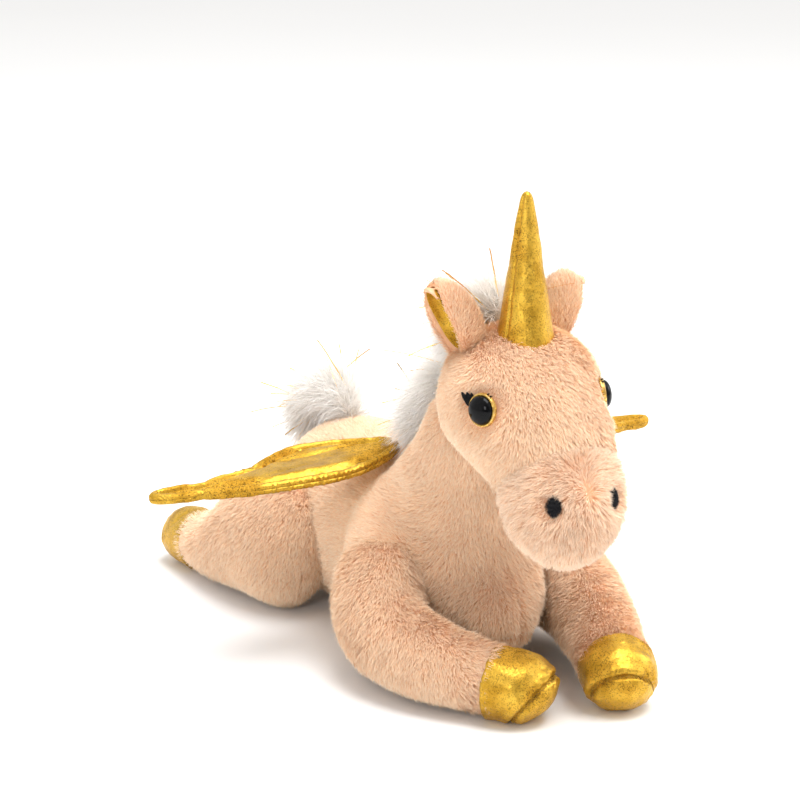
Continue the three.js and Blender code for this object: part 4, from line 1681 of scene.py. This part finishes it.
@dataclass
class Head:
    """The head with its muzzle panel, eyes, nostrils, horn and ears.

    Attributes:
        muzzle_seam: A point of the plane of the muzzle's seam.
        muzzle_way: The way that the muzzle lies beyond it.
        pile: The head's pile fabric.
        muzzle_pile: The muzzle's, which is longer.
    """

    muzzle_seam: Array = field(default_factory=lambda: np.array([-2.0, -145, 118]))
    muzzle_way: Array = field(default_factory=lambda: unit(np.array([-0.03, -0.62, -0.78])))
    stuffing: Stuffing = Stuffing(reach=2.0)
    pile: Pile = replace(FINE, seed=21)
    muzzle_pile: Pile = replace(
        FINE, length=5.6, lean=0.9, seed=22, tuft=5, gather=0.25, scatter=0.34
    )

    def past_seam(self, p: Array) -> Array:
        """How far points lie beyond the muzzle's seam."""
        return (p - self.muzzle_seam) @ self.muzzle_way

    def comb(self, p: Array) -> Array:
        """Brushed from the poll down to the muzzle, and back over the cheeks."""
        down = HEAD.flow(p)
        back = np.array([0.0, 0.55, -0.5])
        cheek = smooth(18, 36, np.abs(p[:, 0]))[:, None]
        return down * (1 - 0.8 * cheek) + back * cheek

    def build(self, shop: Workshop) -> None:
        """Makes the two covers and their pile, and everything sewn to them."""
        eyes = [Eye(side) for side in Side]
        nostrils = [Nostril(side) for side in Side]
        horn = Horn()
        mesh = padded_skin(Skin.capsule(HEAD.rings(80, 72, -3.0)), 4.0, self.stuffing)
        points, normals = points_of(mesh), normals_of(mesh)
        for eye in eyes:
            points -= normals * (3.0 * np.exp(-((eye.off_axis(points) / 9.5) ** 2)))[:, None]
        points -= normals * (0.9 * np.exp(-((self.past_seam(points) / 2.2) ** 2)))[:, None]
        set_points(mesh, points)
        for nostril in nostrils:
            nostril.settle(points)

        def where(p: Array) -> Array:
            """Everywhere but under the eyes, the nostrils and the horn, and inside the neck."""
            keep = np.where(NECK.covers(p, -9), 0.0, 1.0)
            for eye in eyes:
                keep *= smooth(7.2, 9.2, eye.off_axis(p))
            for nostril in nostrils:
                keep *= np.where(nostril.away(p) < 3.8, 0.0, 1.0)
            return keep * np.where((horn.away(p) < 12.0) & (p[:, 2] > 160), 0.0, 1.0)

        def reach(p: Array) -> Array:
            """Shorter round the eyes and nostrils and at the muzzle's seam, longer at the horn."""
            factor = seam_cut(self.past_seam(p), 3.0, 0.3)
            for eye in eyes:
                factor *= 0.3 + 0.7 * smooth(8.5, 15.0, eye.off_axis(p))
            for nostril in nostrils:
                factor *= 0.3 + 0.7 * smooth(4.0, 8.0, nostril.away(p))
            far = np.where(p[:, 2] > 150, smooth(15.0, 21.0, horn.away(p)), 1.0)
            return factor * (1.15 - 0.15 * far)

        head = Growth(self.comb, lambda p: where(p) * (self.past_seam(p) < 0), reach)
        muzzle = Growth(self.muzzle_comb, lambda p: where(p) * (self.past_seam(p) >= 0), reach)
        fuzz = grow("head_pile", mesh, self.pile, head, shop.get(PEACH))
        snout = grow("muzzle_pile", mesh, self.muzzle_pile, muzzle, shop.get(MUZZLE))
        face = cut(mesh.copy(), self.muzzle_seam, self.muzzle_way)
        nose = cut(mesh, self.muzzle_seam, -self.muzzle_way)
        face_cover = place_piece("head_cover", face, shop.get(PEACH_BACKING))
        nose_cover = place_piece("muzzle_cover", nose, shop.get(PEACH_BACKING))
        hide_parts("head_coat", "head_filling")
        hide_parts("muzzle_coat")
        ride_all([face_cover, *fuzz], "head", "plush")
        ride_all([nose_cover, *snout], "head", "plush_panel")
        horn.build(shop)
        for part in (*eyes, *nostrils, *(Ear(side) for side in Side)):
            part.build(shop)

    def muzzle_comb(self, p: Array) -> Array:
        """Brushed outwards from a whorl between the nostrils, and down."""
        whorl = np.array([-2.0, -176.0, 112.0])
        return unit(p - whorl) + [0, 0, -0.8]


# ---------------------------------------------------------------- legs


@dataclass
class Leg:
    """A stuffed leg with a hoof of metallic cloth.

    Attributes:
        limb: Foreleg or hind leg.
        side: Which side.
        voxel: Size of the cover's remesh, in millimetres.
        stuffing: How firmly it is stuffed.
    """

    limb: Limb
    side: Side
    voxel: float = 4.5
    stuffing: Stuffing = Stuffing(reach=2.5)

    @property
    def loft(self) -> Loft:
        """The leg's form."""
        return (FORELEG if self.limb is Limb.FORE else HINDLEG)[self.side]

    @property
    def fore(self) -> bool:
        """Whether it is a foreleg."""
        return self.limb is Limb.FORE

    @property
    def toe(self) -> Array:
        """The tip of the hoof."""
        return np.array(self.loft.stations[-1][:3], float)

    @property
    def way(self) -> Array:
        """The level direction in which the hoof points."""
        ankle = np.array(self.loft.stations[-3][:3], float)
        return unit((self.toe - ankle) * [1, 1, 0])

    @property
    def cuff(self) -> Array:
        """A point of the cuff's plane."""
        return self.toe - self.way * HOOF_LENGTH[self.limb, self.side]

    @property
    def sole(self) -> tuple[Array, Array]:
        """A point of the plane of the sole's seam, and the way beyond it."""
        point = self.toe - self.way * (12 if self.fore else 7)
        point[2] = 13
        return point, unit(self.way + [0, 0, -0.8 if self.fore else -0.4])

    @property
    def body(self) -> str:
        """The frame's body that it rides on."""
        return f"{self.limb.value}_{self.side.word}"

    def comb(self, p: Array) -> Array:
        """Brushed down both sides of the leg, and towards the hoof at the cuff."""
        near = smooth(-22, -6, self.past_cuff(p))[:, None]
        down = np.array([0.0, 0.0, -1.0])
        return self.loft.flow(p) * (0.3 + 0.9 * near) + down * (1 - 0.7 * near)

    def past_cuff(self, p: Array) -> Array:
        """How far points lie beyond the cuff."""
        return (p - self.cuff) @ self.way

    def build(self, shop: Workshop) -> None:
        """Makes the cover, its pile and the hoof."""
        kind, word = self.limb.value, self.side.word
        middle = to_pattern(joint_place(f"{kind}_swing_{word}"))
        ahead = unit(self.loft.slices(np.array([0.3]))[1][0])
        span = (middle - ahead * 16, middle + ahead * 22)
        shell = Skin.capsule(self.loft.rings(56, 72, -BACKING))
        mesh = padded_skin(shell, self.voxel, self.stuffing)

        def where(p: Array) -> Array:
            """Everywhere but deep inside the body and past the cuff."""
            deep = TORSO.covers(p, -8) | SHOULDER[self.side].covers(p, -8)
            keep = np.where(deep | (self.past_cuff(p) > -0.9), 0.0, 1.0)
            return keep * np.where(p[:, 2] < 2.0, 0.4, 1.0)

        def reach(p: Array) -> Array:
            """Longer at the cuff, where the fringe hangs over the hoof."""
            return 1 + 0.25 * smooth(-9, -1, self.past_cuff(p))

        seed = 31 + 2 * (self.side.value + 1) + (0 if self.fore else 1)
        growth = Growth(self.comb, where, reach)
        fuzz = grow(f"{self.body}_pile", mesh, Pile(seed=seed), growth, shop.get(PEACH))
        open_end = cut(mesh, self.cuff - self.way * 1.4, self.way)
        cover = place_piece(f"{self.body}_cover", open_end, shop.get(PEACH_BACKING))
        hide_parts(f"{kind}_coat_{word}", f"{kind}_filling_{word}")
        blend_all([cover, *fuzz], ("torso", self.body), span)
        self.build_hoof(shop)

    def build_hoof(self, shop: Workshop) -> None:
        """Makes the hoof's upper and sole, gathered along their seam, with its stitches.

        The height added to the form is a groove on the seam, folds that run across the
        seam and fade away from it, gathers at the cuff, and soft dents all over.
        """
        rings = self.loft.rings(120, 260, -1.6)
        rings[..., 2] -= 1.3
        rings = rings[self.past_cuff(rings.mean(axis=1)) > -2]
        centre = np.repeat(rings[0].mean(axis=0)[None, None, :], rings.shape[1], axis=1)
        mesh = mesh_of(Skin.capsule(np.concatenate([centre, rings])))
        p, n = points_of(mesh), normals_of(mesh)
        point, beyond = self.sole
        s = (p - point) @ beyond
        across = p - np.outer(s * 0.85, beyond)
        seed = 81 + self.side.value + (0 if self.fore else 7)
        height = -1.5 * np.exp(-((s / 1.1) ** 2)) + 0.5 * np.exp(-(((np.abs(s) - 3.0) / 2.2) ** 2))
        height += 1.1 * noise(across, 2.4, seed) * np.exp(-np.abs(s) / 3.8)
        folded = 0.35 * (1 - creases(p, 10, seed + 2)) * smooth(2, 7, np.abs(s))
        height += 0.5 * noise(p, 13, seed + 1) - folded
        along = self.past_cuff(p)
        rim = p - np.outer(along * 0.9, self.way)
        height += 0.6 * noise(rim, 4.5, seed + 3) * np.exp(-np.abs(along) / 6)
        p = p + n * height[:, None]
        p[:, 2] = np.maximum(p[:, 2], HOOF_FLOOR)
        set_points(mesh, p)
        upper = cut(mesh.copy(), point, beyond)
        sole = cut(mesh, point, -beyond)
        kind, word, pieces = self.limb.value, self.side.word, []
        for name, part in (("upper", upper), ("sole", sole)):
            piece = place_piece(f"{kind}_hoof_{name}_{word}", part, shop.get(GOLD))
            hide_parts(f"hoof_{name}_{kind}_{word}")
            pieces.append(piece)
        pieces.append(self.stitches(rings, shop))
        ride_all(pieces, self.body, "gold_lame")

    def stitches(self, rings: Array, shop: Workshop) -> bpy.types.Object:
        """Zigzag thread in the groove, where the form's columns cross the seam's plane."""
        point, beyond = self.sole
        side = (rings - point) @ beyond
        row = np.argmax(side > 0, axis=0)
        column = np.arange(rings.shape[1])
        low, high = side[row - 1, column], side[row, column]
        share = (-low / np.maximum(high - low, 1e-6))[:, None]
        line = rings[row - 1, column] * (1 - share) + rings[row, column] * share
        line = line - unit(line - line.mean(axis=0)) * 0.75
        closed = np.vstack([line, line[:1]])
        path = even_steps(closed, lambda length: int(length / 1.25) // 2 * 2 + 1)
        path += np.outer(to_and_fro(len(path), 0.75), beyond)
        path[:, 2] = np.maximum(path[:, 2], 0.5)
        skin = tube(path, np.full(len(path), 0.22), 6)
        name = f"{self.limb.value}_hoof_thread_{self.side.word}"
        return place_piece(name, mesh_of(skin), shop.get(THREAD))


# ---------------------------------------------------------------- wings


def arc(*knots: tuple[float, float]) -> Array:
    """A quadratic curve: (1-s)^2 start + 2s(1-s) control + s^2 end."""
    start, control, end = (np.array(knot) for knot in knots)
    s = np.linspace(0, 1, 24)[:, None]
    return (1 - s) ** 2 * start + 2 * s * (1 - s) * control + s**2 * end


WING_LEAD = ((0, -9), (24, -33), (56, -26), (92, -20), (112, -5), (134, 0), (136, 8))
WING_TRAIL = (
    (136, 8), (134, 15), (118, 12), (112, 10), (106, 8), (96, 15), (76, 14),
    (66, 22), (48, 26), (24, 24), (8, 10), (0, 6), (0, 2),
)  # ends and controls of the curves of each edge, in turn
WING_ROWS, WING_COLUMNS = 150, 56


@dataclass
class Wing:
    """A flat wing of two metallic panels with a thick stitched rim.

    Attributes:
        side: Which wing.
        pivot: Its root, on the left side.
        span: From root to tip.
        fall: How far the tip hangs below the root.
        rim: Width of the rolled rim.
        thick: The wing's thickness.
    """

    side: Side
    pivot: tuple[float, float, float] = (18, -18, 105)
    span: float = 136
    fall: float = 12
    rim: float = 5.0
    thick: float = 7.4

    def outline(self) -> tuple[Array, Array]:
        """The leading and the trailing edge, from the root outwards."""
        lead, trail = (
            np.vstack([arc(*knots[k:k + 3]) for k in range(0, len(knots) - 2, 2)])
            for knots in (WING_LEAD, WING_TRAIL)
        )
        return lead, trail[::-1]

    def hang(self, flat: Array) -> Array:
        """Takes points of the wing's own plane to their place on the body."""
        turn = math.atan2(self.fall, self.span)
        x = flat[:, 0] * math.cos(turn) + flat[:, 2] * math.sin(turn)
        z = -flat[:, 0] * math.sin(turn) + flat[:, 2] * math.cos(turn)
        placed = np.stack([x, flat[:, 1], z], axis=1) + np.array(self.pivot)
        placed[:, 0] *= self.side.value
        return placed

    def half_height(self, x: Array, y: Array, edge: Array) -> Array:
        """Half the wing's thickness.

        A roll along the rim, half a circle wide, a groove at its stitching, then a
        pad that rises softly to the full height and dips along two quilted lines.

        Args:
            x: Outwards from the root.
            y: Towards the tail.
            edge: Distance to the outline.

        Returns:
            The half height at each point.
        """
        roll = np.clip(edge / self.rim, 0, 1)
        bead = 3.0 * np.sqrt(np.clip(1 - (2 * roll - 1) ** 2, 0, 1)) * smooth(0, 1, 1.6 - roll)
        pad = self.thick / 2 * smooth(self.rim - 0.5, self.rim + 7, edge)
        body = np.maximum(bead, pad)
        groove = np.exp(-(((edge - self.rim) / 0.9) ** 2))
        outer = np.exp(-(((y - 8 - 0.05 * x) / 1.2) ** 2))
        inner = np.exp(-(((y - 4 - 0.1 * (x - 20)) / 1.2) ** 2))
        quilt = outer * smooth(60, 74, x) * smooth(118, 104, x)
        quilt += inner * smooth(12, 24, x) * smooth(70, 56, x)
        return body * (1 - 0.75 * groove) * (1 - 0.45 * quilt)

    def build(self, shop: Workshop) -> None:
        """Makes the upper and the lower panel and the stitches along the rim."""
        lead, trail = self.outline()
        x = self.span * (0.5 - 0.5 * np.cos(np.linspace(0, np.pi, WING_ROWS)))
        x = 0.5 * x + 0.5 * np.linspace(0, self.span, WING_ROWS)
        low, high = (
            np.interp(x, *rim[np.argsort(rim[:, 0], kind="stable")].T) for rim in (lead, trail)
        )
        v = 0.5 - 0.5 * np.cos(np.linspace(0, np.pi, WING_COLUMNS))
        yy = low[:, None] + (high - low)[:, None] * v[None, :]
        xx = np.repeat(x[:, None], len(v), axis=1)
        grid = np.stack([xx.ravel(), yy.ravel()], axis=1)
        rim = np.vstack([lead, trail])
        edge = np.min(np.linalg.norm(grid[:, None, :] - rim[None], axis=2), axis=1)
        edge = edge.reshape(xx.shape)
        edge[[0, -1]] = edge[:, [0, -1]] = 0.0
        edge = edge.ravel()
        flat = np.hstack([grid, np.zeros((len(grid), 1))])
        half = self.half_height(grid[:, 0], grid[:, 1], edge)
        seed = 101 + self.side.value
        folds = 1 - creases(flat * [0.6, 1, 1], 17, seed + 1)
        crumple = (1.2 * noise(flat, 18, seed) - 0.9 * folds) * smooth(1.0, 10, edge)
        near = np.exp(-np.abs(edge - self.rim) / 4.0) * smooth(0, 2, edge)
        pucker = 0.75 * noise(flat * [1, 0.25, 1], 3.6, seed + 2) * near
        sag = 1.6 * noise(flat, 42, seed + 3) * smooth(0, 40, grid[:, 0])
        word = self.side.word

        def hung(height: Array) -> Array:
            """The grid at a height over the wing's own plane, in its place on the body."""
            return self.hang(np.hstack([grid, height[:, None]])).reshape(WING_ROWS, -1, 3)

        panels, threads = [], []
        for name, sign in (("upper", 1.0), ("lower", -1.0)):
            z = sign * np.maximum(half + crumple * sign * 0.5 + pucker, 0.0) + sag
            top = hung(np.where(edge <= 0, sag, z))
            skin = Skin.sheet(top).joined(Skin.sheet(hung(sag + sign * 0.05)))
            mesh = mesh_of(skin, weld=0.06)
            panels.append(place_piece(f"wing_{name}_{word}", mesh, shop.get(GOLD)))
            if not threads:
                threads.append(self.stitches(lead, top.reshape(-1, 3), grid, shop))
        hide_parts(f"wing_upper_panel_{word}", f"wing_wadding_{word}")
        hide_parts(f"wing_lower_panel_{word}")
        ride_all([*panels, *threads], f"wing_{word}", "gold_lame")

    def stitches(self, lead: Array, top: Array, grid: Array, shop: Workshop) -> bpy.types.Object:
        """Zigzag thread in the groove behind the leading rim.

        The leading edge is shifted inwards by the rim's width and cut into even steps,
        which swing to either side and take their height from the nearest panel point.
        """
        way = unit(np.gradient(lead, axis=0))
        line = lead + np.stack([-way[:, 1], way[:, 0]], axis=1) * self.rim
        line = line[(line[:, 0] > 6) & (line[:, 0] < self.span - 5)]
        path = even_steps(line, lambda length: int(length / 1.3))
        path[:, 1] += to_and_fro(len(path), 0.7)
        nearest = np.argmin(np.linalg.norm(path[:, None] - grid[None], axis=2), axis=1)
        placed = self.hang(np.hstack([path, np.zeros((len(path), 1))]))
        placed[:, 2] = top[nearest, 2] + 0.15
        skin = tube(placed, np.full(len(placed), 0.24), 6)
        return place_piece(f"wing_thread_{self.side.word}", mesh_of(skin), shop.get(THREAD))


# ---------------------------------------------------------------- mane and tail


@dataclass
class Tuft:
    """A bush of long white fur with metallic threads in it.

    Attributes:
        name: Of the pieces.
        loft: The CAD form that it fills.
        node: The CAD node that it stands for.
        body: The body that it rides on.
        fur: The long hair.
        threads: The metallic threads.
        pull: A direction added to the hair's own.
        depth: How deep the padded root lies in the form.
        lowest: The height below which no hair grows.
    """

    name: str
    loft: Loft
    node: str
    body: str
    fur: Lock
    threads: Lock
    pull: tuple[float, float, float] = (0, 0.4, 0.2)
    depth: float = 5.0
    lowest: float = 0.0

    def build(self, shop: Workshop) -> None:
        """Makes the padded root, the hair and the threads."""
        mesh = finished(
            mesh_of(Skin.capsule(self.loft.rings(36, 32, -self.depth))),
            ("REMESH", {"mode": "VOXEL", "voxel_size": 2.5 * MM}),
        )
        root = place_piece(f"{self.name}_root", mesh, shop.get(WHITE_BACKING))
        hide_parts(self.node)
        hair, threads = (
            place_piece(f"{self.name}_{word}", self.strands(mesh, lock), shop.get(finish))
            for word, lock, finish in (("hair", self.fur, WHITE), ("tinsel", self.threads, TINSEL))
        )
        ride_all([root, hair], self.body, "white_fur")
        ride_all([threads], self.body, "gold_lame")

    def strands(self, mesh: bpy.types.Mesh, lock: Lock) -> bpy.types.Mesh:
        """Strands that set out from the root's skin, between its normal and its flow."""
        triangles = triangles_of(mesh)
        p = points_of(mesh)
        sides = [p[triangles[:, k]] - p[triangles[:, 0]] for k in (1, 2)]
        area = np.linalg.norm(np.cross(*sides), axis=1).sum() / 2
        pile = Pile(per_mm2=lock.count / area, seed=lock.seed)
        growth = Growth(toward(0, 0, 1), lambda p: (p[:, 2] > self.lowest).astype(float))
        roots, out = sow(mesh, pile, growth)
        heading = out + 0.7 * self.loft.flow(roots) + np.array(self.pull)
        heading = heading + 0.5 * noise3(roots, 9, lock.seed + 1)
        return lock.grow(roots, unit(heading))


# ---------------------------------------------------------------- studio


@dataclass
class Studio:
    """A pale floor, soft lights and the camera.

    Attributes:
        azimuth: The camera's way round, from straight ahead of the animal.
        elevation: Above the horizon.
        distance: From the aim to the camera, in metres.
        lens: In millimetres.
        aim: The point in pattern millimetres that it looks at.
    """

    azimuth: float = -30.0
    elevation: float = 15.0
    distance: float = 1.25
    lens: float = 105.0
    aim: tuple[float, float, float] = (0.9, 5.7, 120.1)

    def camera(self) -> None:
        """Sets up the camera."""
        a, e = math.radians(self.azimuth), math.radians(self.elevation)
        back = Vector((math.sin(a) * math.cos(e), -math.cos(a) * math.cos(e), math.sin(e)))
        data = bpy.data.cameras.new("camera")
        data.lens = self.lens
        data.clip_start, data.clip_end = 0.05, 50.0
        camera = self.aimed("camera", data, Vector(to_row(self.aim)) + back * self.distance, -back)
        bpy.context.scene.camera = camera

    def aimed(
        self, name: str, data: bpy.types.ID, place: Vector, way: Vector
    ) -> bpy.types.Object:
        """A camera or a lamp in its place, turned to look a given way."""
        made = add_object(name, data)
        made.location = place
        made.rotation_mode = "QUATERNION"
        made.rotation_quaternion = way.to_track_quat("-Z", "Y")
        return made

    def light(self, name: str, place: tuple[float, ...], size: float, power: float) -> None:
        """Adds a square soft light that looks at the animal.

        Args:
            name: The light's name.
            place: Where it hangs, in metres.
            size: Of its side, in metres.
            power: In watts.
        """
        data = bpy.data.lights.new(name, "AREA")
        data.size, data.energy = size, power
        self.aimed(name, data, Vector(place), Vector((0, 0, 0.1)) - Vector(place))

    def floor(self, shop: Workshop) -> None:
        """Lays a large pale floor with a faint unevenness."""
        x, y = np.meshgrid(np.linspace(-9, 9, 7), np.linspace(-9, 9, 7))
        skin = Skin.sheet(np.stack([x, y, 0 * x], axis=-1))
        mesh = bpy.data.meshes.new("floor")
        mesh.from_pydata(skin.points.tolist(), [], skin.faces)
        place_piece("floor", mesh, shop.get(PAPER))

    def sky(self) -> None:
        """Surrounds the set with pale light, dimmer on the side where the camera stands."""
        world = bpy.data.worlds.new("studio")
        world.use_nodes = True
        bpy.context.scene.world = world
        g = Graph(world.node_tree)
        shade = next(n for n in world.node_tree.nodes if n.type == "BACKGROUND")
        ways = {0: g.node("TexCoord").outputs["Generated"], 1: (-0.5, -0.84, 0.1)}
        toward_front = g.node("VectorMath", ways, operation="DOT_PRODUCT")
        front = g.ramp(toward_front.outputs["Value"], 0.5, 0.93)
        strength = g.math("MULTIPLY_ADD", front, -0.78, 0.98)
        g.feed(shade, {"Color": (1.0, 0.99, 0.975, 1), "Strength": strength})

    def build(self, shop: Workshop) -> None:
        """Makes the whole set."""
        self.camera()
        self.floor(shop)
        self.sky()
        self.light("key", (0.25, -0.35, 2.0), 1.3, 43.0)
        self.light("window", (-1.5, -1.2, 0.8), 0.6, 7.0)
        self.light("side", (1.7, -0.4, 0.9), 0.8, 9.0)
        bpy.context.scene.view_settings.view_transform = "Standard"


def dress_frame(shop: Workshop) -> None:
    """Gives the frame's own remaining parts their finish."""
    for side in Side:
        washer = frame["nodes"][f"eye_washer_{side.word}"]
        washer.data.materials.clear()
        washer.data.materials.append(shop.get(PLASTIC))


def main() -> None:
    """Builds the animal and its studio, piece by piece."""
    logging.basicConfig(level=logging.INFO, format="%(name)s: %(message)s", stream=sys.stdout)
    shop = Workshop()
    Studio().build(shop)
    dress_frame(shop)
    Trunk().build(shop)
    Head().build(shop)
    for limb in Limb:
        for side in Side:
            Leg(limb, side).build(shop)
    for side in Side:
        Wing(side).build(shop)
    mane = Lock(count=10000, length=24, width=0.4, steps=5, fall=0.15, stray=0.75)
    brush = Lock(count=11000, length=18, width=0.42, stray=0.7, seed=5)
    threads = Lock(22, 38, width=0.8, steps=8, wave=0.04, fall=0.05, stray=0.9, blunt=0.8)
    sparkle = replace(threads, count=30, seed=6)
    for tuft in (
        Tuft("crest", CREST, "mane_crest", "head", mane, threads, (-0.7, 0.4, 0.1)),
        Tuft("nape", NAPE, "mane_nape", "torso", mane, threads, (-0.9, 0.5, 0.3), lowest=113.0),
        Tuft("tail", TAIL, "tail_tuft", "tail", brush, sparkle, (-0.4, 0.3, 0.7), depth=7.0),
    ):
        tuft.build(shop)


if __name__ == "__main__":
    main()
